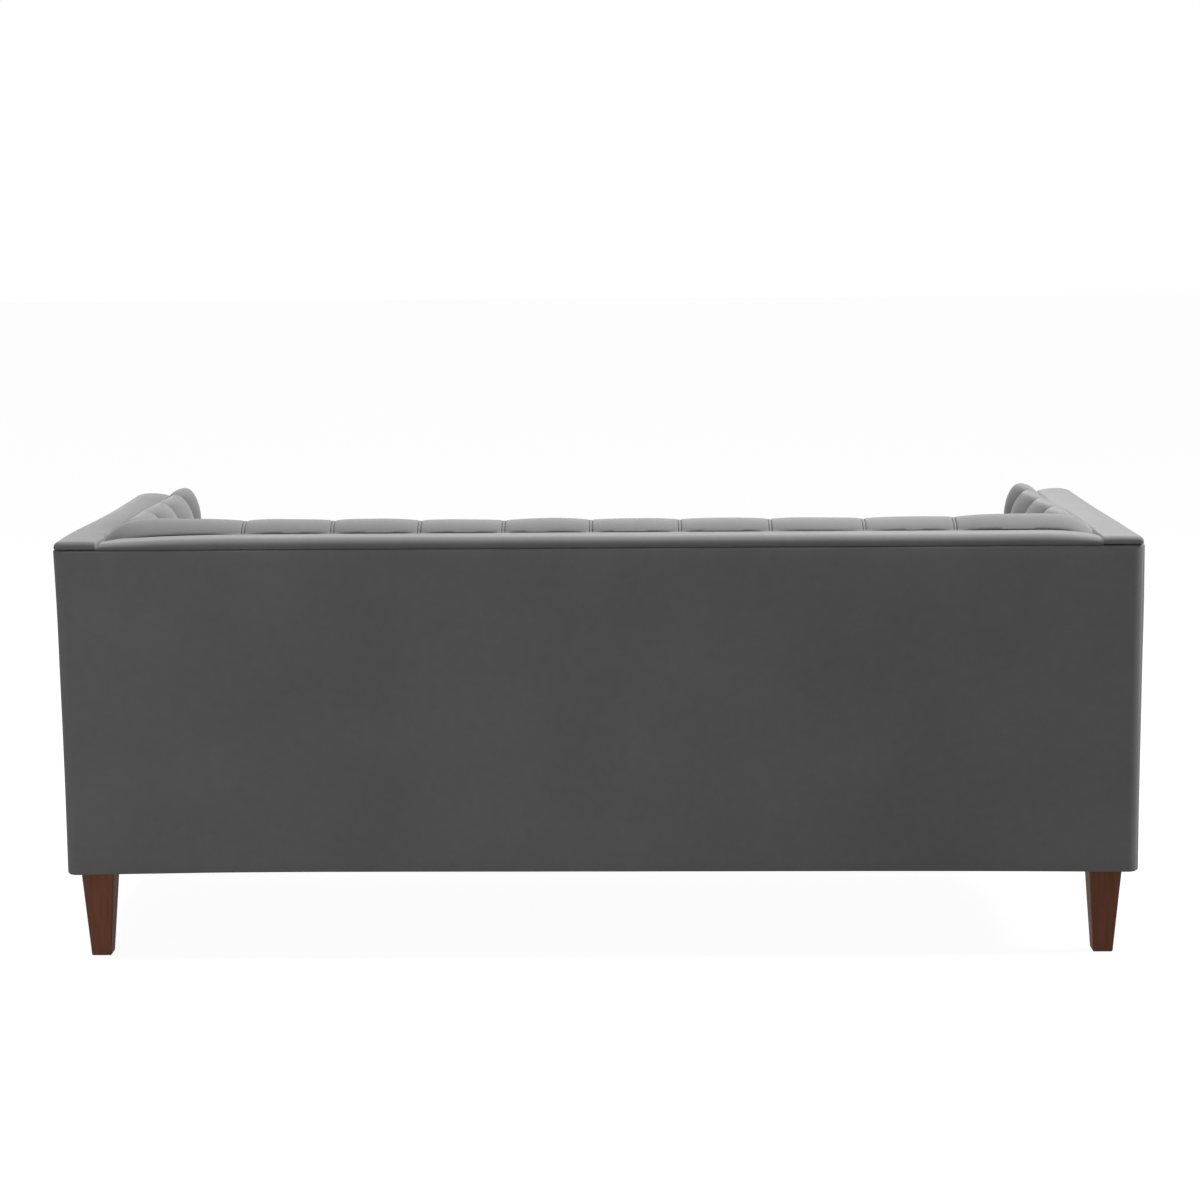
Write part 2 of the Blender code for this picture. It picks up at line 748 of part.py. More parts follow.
def main():
    clear_scene()
    sofa = bpy.data.objects.new("sofa", None)
    bpy.context.scene.collection.objects.link(sofa)
    materials = make_materials()
    for place, x, y in leg_places():
        make_leg(place, x, y, materials)
        make_leg_fixing(place, x, y, materials)
        make_corner_block(place, x, y, materials)
    make_base(materials)
    make_upper_frame(materials)
    make_boards(materials)
    make_springs(materials)
    make_deck_and_dust_cover(materials)
    make_outside_panels(materials)
    make_arm_fronts(materials)
    make_top_pads(materials)
    make_inside_back(materials)
    make_inside_arms(materials)
    make_seat_cushions(materials)


main()
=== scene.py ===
"""The looks of a tufted velvet sofa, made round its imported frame.

Metres, +Z up, and the seat faces -Y. Left is -X, as seen from in front.
"""

import math

import bmesh
import bpy
import numpy as np
from mathutils import Matrix, Vector, noise
from mathutils.kdtree import KDTree


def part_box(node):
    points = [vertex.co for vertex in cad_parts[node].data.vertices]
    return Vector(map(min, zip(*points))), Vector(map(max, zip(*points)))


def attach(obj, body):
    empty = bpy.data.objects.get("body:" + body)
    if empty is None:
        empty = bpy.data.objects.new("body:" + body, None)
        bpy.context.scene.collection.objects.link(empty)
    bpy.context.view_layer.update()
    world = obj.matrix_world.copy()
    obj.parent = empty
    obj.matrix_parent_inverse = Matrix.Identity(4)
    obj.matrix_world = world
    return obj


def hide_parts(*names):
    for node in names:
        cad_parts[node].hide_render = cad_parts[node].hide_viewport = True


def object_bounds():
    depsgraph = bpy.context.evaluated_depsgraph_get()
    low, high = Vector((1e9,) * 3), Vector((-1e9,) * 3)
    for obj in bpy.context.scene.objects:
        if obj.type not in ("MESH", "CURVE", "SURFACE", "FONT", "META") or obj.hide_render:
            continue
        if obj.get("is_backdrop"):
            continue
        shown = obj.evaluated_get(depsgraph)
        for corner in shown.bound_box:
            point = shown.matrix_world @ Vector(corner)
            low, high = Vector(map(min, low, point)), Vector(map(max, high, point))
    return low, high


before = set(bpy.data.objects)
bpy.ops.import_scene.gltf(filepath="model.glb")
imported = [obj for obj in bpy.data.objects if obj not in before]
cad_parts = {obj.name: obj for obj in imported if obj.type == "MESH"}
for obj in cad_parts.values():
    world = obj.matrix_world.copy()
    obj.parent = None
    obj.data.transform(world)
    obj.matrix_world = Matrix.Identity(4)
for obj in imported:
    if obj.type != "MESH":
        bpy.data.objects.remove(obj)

CAD_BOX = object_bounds()
FRAME_BODY = "sofa_frame"
SIDES = (("left", -1), ("right", 1))

# Corners of the nodes that the pieces are made round
BACK_LOW, BACK_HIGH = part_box("outside_back_panel")
ARM_LOW, ARM_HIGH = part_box("outside_arm_panel_right")
ARM_FRONT_LOW, ARM_FRONT_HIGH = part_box("arm_front_panel_right")
RAIL_LOW, RAIL_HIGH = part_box("front_rail_panel")
STRIP_LOW, STRIP_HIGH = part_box("arm_top_pad_right")
BAND_LOW, BAND_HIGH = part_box("back_top_band")
BACK_PAD_LOW, BACK_PAD_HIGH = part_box("inside_back_pad")
ARM_PAD_LOW, ARM_PAD_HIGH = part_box("inside_arm_pad_right")
DECK_LOW, DECK_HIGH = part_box("seat_deck")
COVER_LOW, COVER_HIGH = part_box("dust_cover")
CUSHION_LOW, CUSHION_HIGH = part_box("seat_cushion_right")

# Planes that the pieces share
HALF_WIDTH = BACK_HIGH.x
REAR = BACK_HIGH.y
FRONT = ARM_FRONT_LOW.y
SEAM = STRIP_LOW.z
TOP = STRIP_HIGH.z
SEAT_SIDE = ARM_FRONT_LOW.x
PAD_BOTTOM = BACK_PAD_LOW.z
PAD_CREST = BACK_PAD_HIGH.z
GAP = 0.0003

# Outside panels
CORNER_RADIUS = 0.022
CORNER_STEPS = 10
HEM_ROUND = 0.003
SEAM_ROUND = 0.0038
ROUND_STEPS = 6
PANEL_STEP = 0.020
PANEL_BULGE = 0.0025
PILLOW_SHAPE = 4
PANEL_WAVE = 0.0007
PANEL_WAVE_SCALE = 7.0
WAVE_PLACE = {"arm": 5.0, "rail": 9.0, "strip": 2.0, "band": 4.0, "back_pad": 1.0, "arm_pad": 6.0}
SIDE_SWELL = {-1: (0.0048, 0.0048), 1: (0.0003, 0.0070)}
SIDE_SWELL_SHAPE = 2.5
SIDE_SWELL_FRONT = 0.3
SIDE_SWELL_FADE = 8
HEM_SAG = 0.0004
HEM_LEAN = 0.0026
HEM_DROOP = {-1: 0.0022, 1: 0.0058}
HEM_DROOP_REACH = 0.50
HEM_DROOP_HEIGHT = 0.10
SEAM_PINCH = 0.0016
SEAM_PINCH_REACH = 0.004
ARM_FRONT_ROUND = 0.007
ARM_FRONT_BULGE = 0.003
ARM_FRONT_DROP = 0.014
ARM_FRONT_STEP = 0.008
ARM_FRONT_VALLEY = (0.012, 0.008)
ARM_FRONT_ROW_ROUND = 0.02
ARM_FRONT_ROW_STEP = 0.03

# Flat top pads
STRIP_ROUND = 0.009
STRIP_INNER_ROUND = 0.0105
STRIP_INNER_ROUND_REAR = 0.003
STRIP_INNER_ROUND_SPAN = (0.07, 0.13)
STRIP_FOOT_ROUND = 0.004
STRIP_CROWN_REAR = 0.001
STRIP_CROWN_FRONT = 0.0090
STRIP_END_ROUND = 0.009
STRIP_END_CORNER = {-1: 0.003, 1: 0.011}
STRIP_FLARE = {-1: 0.0, 1: 0.0068}
STRIP_FLARE_MIDDLE = 0.14
STRIP_FLARE_REACH = 0.15
STRIP_WAIST = {-1: 0.002, 1: 0.005}
STRIP_WAIST_MIDDLE = 0.56
STRIP_WAIST_REACH = 0.20
STRIP_INNER_FLARE = {-1: 0.0105, 1: 0.0120}
STRIP_INNER_FLARE_SPAN = {-1: (0.05, -0.18), 1: (0.08, -0.32)}
STRIP_INNER_FLARE_FOOT = 0.70
STRIP_FRONT_ROUND = 0.004
STRIP_UNDERCUT = 0.0021
STRIP_UNDERCUT_REACH = 0.012
CROWN_SHAPE = 2.5
BAND_ROUND = 0.0125
BAND_FRONT_ROUND = 0.003
BAND_CROWN = 0.0020
BAND_WAVE = 0.0003
BAND_END_REACH = {-1: 0.006, 1: 0.014}
BAND_END_DROP = {-1: 0.003, 1: 0.006}
BAND_CORNER_DROP = {-1: 0.003, 1: 0.011}
BAND_CORNER_REACH = 0.035
BAND_TAPER = {-1: 0.007, 1: 0.0085}
BAND_TAPER_REACH = {-1: 0.10, 1: 0.28}
BAND_FOOT_ROUND = 0.003
TOP_STEP = 0.012
TOP_FLAT_STEPS = 10

# Tufted pads
BACK_RAKE = 0.040
BACK_PAD_THICKNESS = 0.0914
PAD_SHOULDER_HEIGHT = TOP - 0.040
PAD_BACK_HEIGHT = TOP - 0.020
PAD_TOP_SHAPE = 0.8
PAD_CREASE_FOLD = ((0.0012, 0.09), (0.0032, 0.24), (0.0042, 0.52), (0.0036, 0.78))
PAD_LIP = -0.0043
PAD_LIP_HEIGHTS = (TOP - 0.0070, TOP - 0.0100)
PAD_LIP_FOOT = TOP - 0.0125
BACK_CREASE = (0.0032, TOP + 0.0045, 0.4)
ARM_CREASE = (0.0030, TOP - 0.001, 0.6)
PAD_NOTCH = TOP - 0.006
SHOULDER_CLEAR = 0.004
SHOULDER_REACH = 0.030
SHOULDER_ROUNDS = 8
ARM_PAD_OUTER = ARM_PAD_HIGH.x
ARM_PAD_THICKNESS = ARM_PAD_OUTER - SEAT_SIDE
BACK_PAD_REAR = BACK_PAD_HIGH.y
SEAT_REAR = BACK_PAD_REAR - BACK_PAD_THICKNESS - BACK_RAKE
TUFT_ROWS = 3
ROW_HEIGHT = (PAD_CREST - PAD_BOTTOM) / TUFT_ROWS
TUFT_DEPTH = 0.036
BACK_TOP_DEPTH = 0.003
BACK_SEAM_SPAN = (-1.3, -0.9)
ARM_TOP_DEPTH = 0.034
ARM_SEAM_SPAN = (-0.40, 0.65)
BACK_END = STRIP_LOW.x - 0.0006
BACK_FACE_END = SEAT_SIDE - 0.010
BACK_END_REACH = 0.075
BACK_END_START = 0.008
BACK_END_HEIGHT = TOP - 0.020
BACK_END_CLEAR = 0.0004
BACK_END_SLOPE = 0.1
BACK_NOTCH = {-1: 0.004, 1: 0.011}
BACK_NOTCH_REACH = 0.030
BACK_NOTCH_SPAN = 0.040
BACK_PUFF_LIFT = (0.0050, 0.0, -0.0005, 0.0005, 0.0, 0.0010, -0.0005, 0.0025, 0.0015, 0.0035)
BACK_PUFF_LIFT_SHAPE = 4
ARM_END_REACH = 0.030
ARM_END_HEIGHT = TOP - 0.012
ARM_CREVICE_MIDDLE = 0.13
ARM_CREVICE_REACH = 0.07
ARM_CREVICE_WIDTH = 0.0032
ARM_CREVICE_DEPTH = 0.0020
ARM_CREVICE_SPAN = 0.030
ARM_FIRST_PEAK = 0.30
ARM_FIRST_SHAPE = 1.5
ARM_FRONT_FACE_FULLNESS = 0.75
ARM_FIRST_RISE = 0.0056
ARM_FIRST_FALL = 0.0264
ARM_FRONT_NARROW = {-1: 0.0180, 1: 0.0215}
ARM_FRONT_PANEL_NARROW = 1.5
ARM_FRONT_NARROW_FOOT = 0.56
ARM_FRONT_NARROW_HEAD = 0.72
TUFT_FLATNESS = 2.2
TUFT_STEEPNESS = 0.6
BACK_COLUMNS = 10
BACK_COLUMN_WIDTH = 0.162
BACK_PUFF_LAST = BACK_COLUMNS - 1.001
ARM_COLUMNS = 4
SEAM_DRIFT = 0.0143
SEAM_DRIFT_MIDDLE = -0.08
SEAM_DRIFT_REACH = 0.36
SEAM_DRIFT_SHAPE = 4
PLEAT_HALF = 0.0028
PLEAT_DEPTH = 0.0016
PLEAT_WIDTH = 0.0010
PLEAT_SECOND = 0.6
STITCH_RADIUS = 0.0007
STITCH_SHARE = 0.6
DIMPLE_DEPTH = 0.008
DIMPLE_REACH = 0.016
PAD_WAVE = 0.0012
PAD_WAVE_SCALE = 11.0
PAD_TOP_STEPS = 30
BESIDE_SEAM = (0.0, 0.0012, 0.0020, 0.0028, 0.0036, 0.0046, 0.0062, 0.0088, 0.0125, 0.0180, 0.0250)
BESIDE_ROW = (0.0, 0.0012, 0.0028, 0.0050, 0.0080, 0.0125, 0.0190)
TUFT_STEP = 0.010
BUTTON_RADIUS = 0.0115
BUTTON_DOME = 0.0065
BUTTON_SIDES = 24
BUTTON_RINGS = 6
BUTTON_EDGE = 0.001
BUTTON_FOOT = ((0.86, -0.004), (1.0, -BUTTON_EDGE), (1.0, BUTTON_EDGE))
BACK_BUTTON_FACING = (0.0, -1.0, 0.09)

# Loose seat cushions
CUSHION_VOXEL = 0.008
CUSHION_INSET = 0.012
CUSHION_CROWN = 0.014
CUSHION_CORNER = 0.026
CUSHION_CORNER_STEPS = 6
CUSHION_PRESSURE = 4.0
CUSHION_FRAMES = 20
CUSHION_CAP = 0.024
CUSHION_EVENING = 40
CUSHION_WELT_STEP = 0.010
WELT_RADIUS = 0.0032

# Seat deck and dust cover
DECK_CROWN = 0.002
COVER_SAG = 0.003
COVER_CLOTH = 0.0008
UNDER_STEP = 0.030

# Camera, fitted to the photo
CAMERA_PLACE = Vector((-0.0576, 5.0760, 1.3417))
CAMERA_PITCH = math.radians(8.2241)
CAMERA_YAW = math.radians(-0.6723)
CAMERA_ROLL = math.radians(0.3981)
FOCAL_PIXELS = 2638.94
IMAGE_PIXELS = 1200
SENSOR_WIDTH = 36.0

# Others
FLOOR_REACH = 40.0
SHARP_ANGLE = math.radians(55)
TINY = 1e-6


# Shapes

def clamped(value, low=0.0, high=1.0):
    return min(max(value, low), high)


def share_of(place, low, high):
    """How far a place is on the way from low to high."""
    return (place - low) / (high - low)


def smooth(share):
    """A share that climbs gently from 0 to 1, and keeps to these beyond them."""
    share = clamped(share)
    return share**2 * (3 - 2 * share)


def fading(away, reach):
    """1 at no distance, falling evenly to 0 where the reach ends."""
    return max(1 - away / reach, 0.0)


def domed(away, reach):
    """The share of its full height that something with a round end has at a distance from that end."""
    return math.sqrt(max(1 - fading(away, reach) ** 2, 0.0))


def hump(place, middle, reach):
    """A smooth hump along a line: 1 at its middle."""
    return math.exp(-(((place - middle) / reach) ** 2))


def spread(low, high, step):
    """Even places from low to high, about a step apart."""
    count = max(1, round(abs(high - low) / step))
    return [low + (high - low) * i / count for i in range(count + 1)]


def graded(low, high, beside, step):
    """Places from low to high: close together beside both ends and even between."""
    near = list(beside[:-1])
    middle = spread(low + beside[-1], high - beside[-1], step)
    return [low + gap for gap in near] + middle + [high - gap for gap in reversed(near)]


def quarter():
    """The turns of a rounded edge, from 0 to a quarter."""
    return [math.pi / 2 * i / ROUND_STEPS for i in range(ROUND_STEPS + 1)]


def drawn_in(place, low, high, low_round, high_round):
    """How far a face lies back at a place between low and high, where its two edges are rounded."""
    if place < low + low_round:
        away, radius = low + low_round - place, low_round
    elif place > high - high_round:
        away, radius = place - high + high_round, high_round
    else:
        return 0.0
    return radius - math.sqrt(max(radius**2 - away**2, 0.0))


def rounded_places(low, high, low_round, high_round, step):
    """Places from low to high, close together over two rounded edges."""
    first = [low + low_round * (1 - math.cos(turn)) for turn in quarter()]
    last = [high - high_round * (1 - math.cos(turn)) for turn in reversed(quarter())]
    return first[:-1] + spread(first[-1], last[0], step) + last[1:]


def pillow(share_across, share_up):
    """How far a stretched cover swells: 1 in its middle, 0 at its edges."""
    return (1 - (2 * share_across - 1) ** PILLOW_SHAPE) * (1 - (2 * share_up - 1) ** PILLOW_SHAPE)


def wave(point, size, scale):
    """A little unevenness, the same each run."""
    return size * noise.noise(Vector(point) * scale)


def loft(rings, thin=False):
    """Points and faces of a skin over closed rings, with both ends capped.

    A thin ring goes out along one side and back along the other, so its caps go across from side to side.
    """
    count = len(rings[0])
    points = [point for ring in rings for point in ring]
    faces = []
    for row in range(len(rings) - 1):
        first, second = row * count, (row + 1) * count
        for i in range(count):
            j = (i + 1) % count
            faces.append((first + i, first + j, second + j, second + i))
    for start in (0, len(points) - count):
        if thin:
            end = start + count - 1
            faces += [(start + i, start + i + 1, end - i - 1, end - i) for i in range(count // 2 - 1)]
        else:
            faces.append(tuple(range(start, start + count)))
    return points, faces


def plate(columns, rows, front, back):
    """Points and faces of a closed plate. front and back turn a column and a row into a point."""
    wide, tall = len(columns), len(rows)
    layer = wide * tall
    points = [front(u, v) for v in rows for u in columns]
    points += [back(u, v) for v in rows for u in columns]
    faces = []
    for start in (0, layer):
        for j in range(tall - 1):
            for i in range(wide - 1):
                a = start + j * wide + i
                faces.append((a, a + 1, a + wide + 1, a + wide))
    rim = list(range(wide))
    rim += [j * wide + wide - 1 for j in range(1, tall)]
    rim += [(tall - 1) * wide + i for i in range(wide - 2, -1, -1)]
    rim += [j * wide for j in range(tall - 2, 0, -1)]
    for a, b in zip(rim, rim[1:] + rim[:1]):
        faces.append((a, b, b + layer, a + layer))
    return points, faces


def tube(path, radius, sides=10, closed=True):
    """Points and faces of a round tube along a path."""
    path = [Vector(point) for point in path]
    count = len(path)
    rings = []
    aside = None
    for i, point in enumerate(path):
        before = path[i - 1] if closed else path[max(i - 1, 0)]
        after = path[(i + 1) % count] if closed else path[min(i + 1, count - 1)]
        along = (after - before).normalized()
        if aside is None:
            aside = along.orthogonal().normalized()
        aside = (aside - along * aside.dot(along)).normalized()
        other = along.cross(aside)
        turns = [2 * math.pi * k / sides for k in range(sides)]
        rings.append([point + radius * (math.cos(t) * aside + math.sin(t) * other) for t in turns])
    if not closed:
        return loft(rings)
    twist = min(range(sides), key=lambda k: (rings[0][k] - rings[-1][0]).length)
    points = [point for ring in rings for point in ring]
    faces = []
    for row in range(count):
        first, second = row * sides, (row + 1) % count * sides
        turn = twist if row == count - 1 else 0
        for k in range(sides):
            a, b = k, (k + 1) % sides
            c, d = (b + turn) % sides, (a + turn) % sides
            faces.append((first + a, first + b, second + c, second + d))
    return points, faces


def joined(parts):
    """Several points-and-faces pairs as one."""
    points, faces = [], []
    for more_points, more_faces in parts:
        start = len(points)
        points += more_points
        faces += [tuple(start + i for i in face) for face in more_faces]
    return points, faces


def mirrored(shape, sign):
    """A shape made for the right-hand side, or its mirror image for the left."""
    points, faces = shape
    return [(sign * x, y, z) for x, y, z in points], faces


def add_piece(name, shape, material, body=FRAME_BODY, replaced=None):
    """Makes a piece of the sofa from points and faces."""
    points, faces = shape
    mesh = bpy.data.meshes.new(name)
    mesh.from_pydata([tuple(point) for point in points], [], faces)
    bm = bmesh.new()
    bm.from_mesh(mesh)
    bmesh.ops.recalc_face_normals(bm, faces=bm.faces)
    bm.to_mesh(mesh)
    bm.free()
    mesh.shade_smooth()
    mesh.set_sharp_from_angle(angle=SHARP_ANGLE)
    mesh.materials.append(material)
    piece = bpy.data.objects.new(name, mesh)
    bpy.context.scene.collection.objects.link(piece)
    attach(piece, body)
    if replaced:
        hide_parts(replaced)
    return piece


def add_cover(name, shape, materials, node, body=FRAME_BODY):
    """Makes a padded velvet piece that stands for a soft node."""
    return add_piece(name, shape, materials["velvet"], body=body, replaced=node)


def add_pair(name, shape_of, materials, node):
    """Makes the left and the right one of a pair of padded velvet pieces."""
    for side, sign in SIDES:
        add_cover(f"{name}_{side}", shape_of(sign), materials, f"{node}_{side}")


# Materials

def new_material(name):
    """A material, its tree and the place on the piece that its textures read."""
    material = bpy.data.materials.new(name)
    material.use_nodes = True
    tree = material.node_tree
    return material, tree, tree.nodes.new("ShaderNodeTexCoord").outputs["Object"]


def noise_node(tree, place, scale, detail, stretch=(1.0, 1.0, 1.0)):
    """A noise texture over a place, drawn out along the axes where stretch is under 1."""
    mapping = tree.nodes.new("ShaderNodeMapping")
    mapping.inputs["Scale"].default_value = stretch
    tree.links.new(place, mapping.inputs["Vector"])
    texture = tree.nodes.new("ShaderNodeTexNoise")
    texture.inputs["Scale"].default_value = scale
    texture.inputs["Detail"].default_value = detail
    tree.links.new(mapping.outputs["Vector"], texture.inputs["Vector"])
    return texture.outputs["Fac"]


def ranged(tree, value, low, high, start=0.3, end=0.7):
    """A value stretched from start and end to low and high."""
    node = tree.nodes.new("ShaderNodeMapRange")
    node.inputs["From Min"].default_value = start
    node.inputs["From Max"].default_value = end
    node.inputs["To Min"].default_value = low
    node.inputs["To Max"].default_value = high
    tree.links.new(value, node.inputs["Value"])
    return node.outputs["Result"]


def combine(tree, operation, first, second):
    node = tree.nodes.new("ShaderNodeMath")
    node.operation = operation
    for value, socket in zip((first, second), node.inputs):
        if isinstance(value, float):
            socket.default_value = value
        else:
            tree.links.new(value, socket)
    return node.outputs["Value"]


def mixed(tree, share, first, second):
    """A colour between two, each a colour or a socket."""
    node = tree.nodes.new("ShaderNodeMix")
    node.data_type = "RGBA"
    tree.links.new(share, node.inputs["Factor"])
    for colour, socket in ((first, node.inputs["A"]), (second, node.inputs["B"])):
        if isinstance(colour, tuple):
            socket.default_value = (*colour, 1.0)
        else:
            tree.links.new(colour, socket)
    return node.outputs["Result"]


def shade(colour, factor):
    return tuple(channel * factor for channel in colour)


def dressed(material, colour, roughness, relief, constants, strength, distance):
    """A material with its colour, roughness and relief from textures and constant values for the rest."""
    tree = material.node_tree
    shader = tree.nodes["Principled BSDF"]
    bump = tree.nodes.new("ShaderNodeBump")
    bump.inputs["Strength"].default_value = strength
    bump.inputs["Distance"].default_value = distance
    tree.links.new(relief, bump.inputs["Height"])
    tree.links.new(bump.outputs["Normal"], shader.inputs["Normal"])
    tree.links.new(colour, shader.inputs["Base Color"])
    tree.links.new(roughness, shader.inputs["Roughness"])
    for name, value in constants.items():
        shader.inputs[name].default_value = value
    return material


def make_velvet(name, colour):
    """Short-pile velvet: soft sheen, faint nap patches and a fine pile."""
    material, tree, place = new_material(name)
    patches = ranged(tree, noise_node(tree, place, scale=3.5, detail=4.0), 0.0, 1.0)
    mottle = ranged(tree, noise_node(tree, place, scale=55.0, detail=5.0), 0.0, 1.0)
    pile = noise_node(tree, place, scale=1300.0, detail=2.0)
    darker = mixed(tree, patches, shade(colour, 0.92), shade(colour, 1.06))
    lighter = mixed(tree, patches, shade(colour, 1.00), shade(colour, 1.14))
    nap = mixed(tree, mottle, darker, lighter)
    roughness = ranged(tree, mottle, 0.80, 0.92, 0.0, 1.0)
    relief = combine(tree, "ADD", pile, combine(tree, "MULTIPLY", mottle, 0.4))
    sheen = {
        "Specular IOR Level": 0.15,
        "Sheen Weight": 0.30,
        "Sheen Roughness": 0.35,
        "Sheen Tint": (0.97, 0.97, 0.97, 1.0),
    }
    return dressed(material, nap, roughness, relief, sheen, strength=0.25, distance=0.0006)


def make_wood(name, dark, light, roughness, gloss, fine):
    """Wood with its grain along the axis on which fine, the stretch of its textures, is smallest."""
    material, tree, place = new_material(name)
    rings = noise_node(tree, place, scale=14.0, detail=4.0, stretch=fine)
    fibres = noise_node(tree, place, scale=150.0, detail=3.0, stretch=fine)
    grain = combine(tree, "ADD", rings, combine(tree, "MULTIPLY", fibres, 0.5))
    colour = mixed(tree, ranged(tree, grain, 0.0, 1.0, 0.5, 1.0), dark, light)
    worn = ranged(tree, fibres, roughness - 0.06, roughness + 0.08)
    shine = {"Specular IOR Level": gloss}
    return dressed(material, colour, worn, fibres, shine, strength=0.12, distance=0.0004)


def make_steel(name):
    """Zinc-plated steel, faintly clouded."""
    material, tree, place = new_material(name)
    cloud = ranged(tree, noise_node(tree, place, scale=90.0, detail=4.0), 0.0, 1.0)
    colour = mixed(tree, cloud, (0.42, 0.42, 0.41), (0.58, 0.58, 0.56))
    roughness = ranged(tree, cloud, 0.30, 0.44, 0.0, 1.0)
    return dressed(material, colour, roughness, cloud, {"Metallic": 1.0}, strength=0.08, distance=0.0003)


def make_cloth(name, colour):
    """Thin cloth with a plain weave."""
    material, tree, place = new_material(name)
    ways = (1.0, 0.06, 1.0), (0.06, 1.0, 1.0)
    weave = [noise_node(tree, place, scale=900.0, detail=1.0, stretch=way) for way in ways]
    threads = combine(tree, "MAXIMUM", *weave)
    fade = noise_node(tree, place, scale=9.0, detail=3.0)
    share = ranged(tree, combine(tree, "ADD", threads, fade), 0.0, 1.0, 0.8, 1.4)
    woven = mixed(tree, share, shade(colour, 0.8), shade(colour, 1.5))
    roughness = ranged(tree, fade, 0.86, 0.97)
    shine = {"Specular IOR Level": 0.2}
    return dressed(material, woven, roughness, threads, shine, strength=0.4, distance=0.0004)


def make_plastic(name):
    """Black moulded plastic with a fine grain."""
    material, tree, place = new_material(name)
    grain = noise_node(tree, place, scale=700.0, detail=2.0)
    colour = mixed(tree, grain, (0.016, 0.016, 0.017), (0.026, 0.026, 0.027))
    roughness = ranged(tree, grain, 0.42, 0.58)
    return dressed(material, colour, roughness, grain, {}, strength=0.2, distance=0.0002)


def make_materials():
    grains = {"upright": (1.0, 1.0, 0.08), "sideways": (0.08, 1.0, 1.0), "lengthways": (1.0, 0.08, 1.0)}
    upright = grains["upright"]
    stain = (0.147, 0.055, 0.032), (0.248, 0.103, 0.064)
    ply = (0.46, 0.32, 0.18), (0.64, 0.48, 0.30)
    pine = (0.42, 0.26, 0.12), (0.62, 0.44, 0.25)
    materials = {
        "velvet": make_velvet("grey_velvet", (0.150, 0.150, 0.150)),
        # Near-black stitch tubes: their dark colour is painted shade of the grooves along the tufted pads'
        # seams
        "shade_thread": make_cloth("seam_shade_thread", (0.030, 0.030, 0.030)),
        "leg_wood": make_wood("dark_stained_wood", *stain, roughness=0.50, gloss=0.04, fine=upright),
        "plywood": make_wood("plywood", *ply, roughness=0.72, gloss=0.3, fine=upright),
        "steel": make_steel("zinc_steel"),
        "cambric": make_cloth("black_lining_cloth", (0.014, 0.014, 0.015)),
        "plastic": make_plastic("black_plastic"),
    }
    for way, fine in grains.items():
        name = f"pine_{way}"
        materials[name] = make_wood(name, *pine, roughness=0.68, gloss=0.3, fine=fine)
    return materials


def material_of_node(name):
    """The material of a node that keeps its own shape, by the first words of its name."""
    for words, material in (
        ("leg_glide", "plastic"),
        ("leg_", "leg_wood"),
        ("hanger_bolt", "steel"),
        ("tee_nut", "steel"),
        ("seat_spring", "steel"),
        ("inside_", "plywood"),
        ("back_post", "pine_upright"),
        ("arm_front_post", "pine_upright"),
        ("base_left", "pine_lengthways"),
        ("base_right", "pine_lengthways"),
        ("seat_stretcher", "pine_lengthways"),
        ("arm_top_rail", "pine_lengthways"),
    ):
        if name.startswith(words):
            return material
    return "pine_sideways"


def finish_kept_nodes(materials):
    for name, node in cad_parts.items():
        node.data.materials.clear()
        node.data.materials.append(materials[material_of_node(name)])


# Outside panels

def corner_turns():
    """The turns of a rear corner that the outside back covers, from its seam to the rear."""
    first = math.asin((BACK_LOW.y - REAR + CORNER_RADIUS) / CORNER_RADIUS)
    return [first + (math.pi / 2 - first) * i / CORNER_STEPS for i in range(CORNER_STEPS + 1)]


def corner_point(turn):
    """A point of the right rear corner seen from above, and its outward direction."""
    out = Vector((math.cos(turn), math.sin(turn)))
    middle = Vector((HALF_WIDTH - CORNER_RADIUS, REAR - CORNER_RADIUS))
    return middle + CORNER_RADIUS * out, out


def back_line():
    """The outside back from above, from seam to seam: point, outward direction, distance to a seam."""
    right = []
    for turn in corner_turns():
        point, out = corner_point(turn)
        right.append((point, out, CORNER_RADIUS * (turn - corner_turns()[0])))
    edge = right[-1][0].x
    between = spread(edge, -edge, PANEL_STEP)[1:-1]
    rear = [(Vector((x, REAR)), Vector((0.0, 1.0)), math.inf) for x in between]
    left = []
    for point, out, away in reversed(right):
        left.append((Vector((-point.x, point.y)), Vector((-out.x, out.y)), away))
    return right + rear + left


def side_swell(sign, height):
    """How far a side of the body stands out at a height."""
    lower, upper = SIDE_SWELL[sign]
    share = max(share_of(height, BACK_LOW.z, BACK_HIGH.z), 0.0)
    return lower + (upper - lower) * share**SIDE_SWELL_SHAPE


def hem_droop(x, height, towards_corner, towards_rear=1.0):
    """How far the hem hangs down at a place, with shares that are 1 at a rear corner and at the rear."""
    low = fading(height - BACK_LOW.z, HEM_DROOP_HEIGHT)
    droop = HEM_DROOP[math.copysign(1, x)] * towards_corner**2
    return low * (droop + (HEM_SAG - HEM_LEAN * x / HALF_WIDTH) * towards_rear)


def pinch(away):
    """How far a seam draws the cover in at a distance from it."""
    return SEAM_PINCH * hump(away, 0.0, SEAM_PINCH_REACH)


def panel_swell(share_across, share_up, place, faced=1.0):
    """How far a padded panel stands out at shares of its width and height, with its unevenness there."""
    uneven = wave(place, PANEL_WAVE, PANEL_WAVE_SCALE)
    return PANEL_BULGE * pillow(share_across, share_up) + uneven * faced


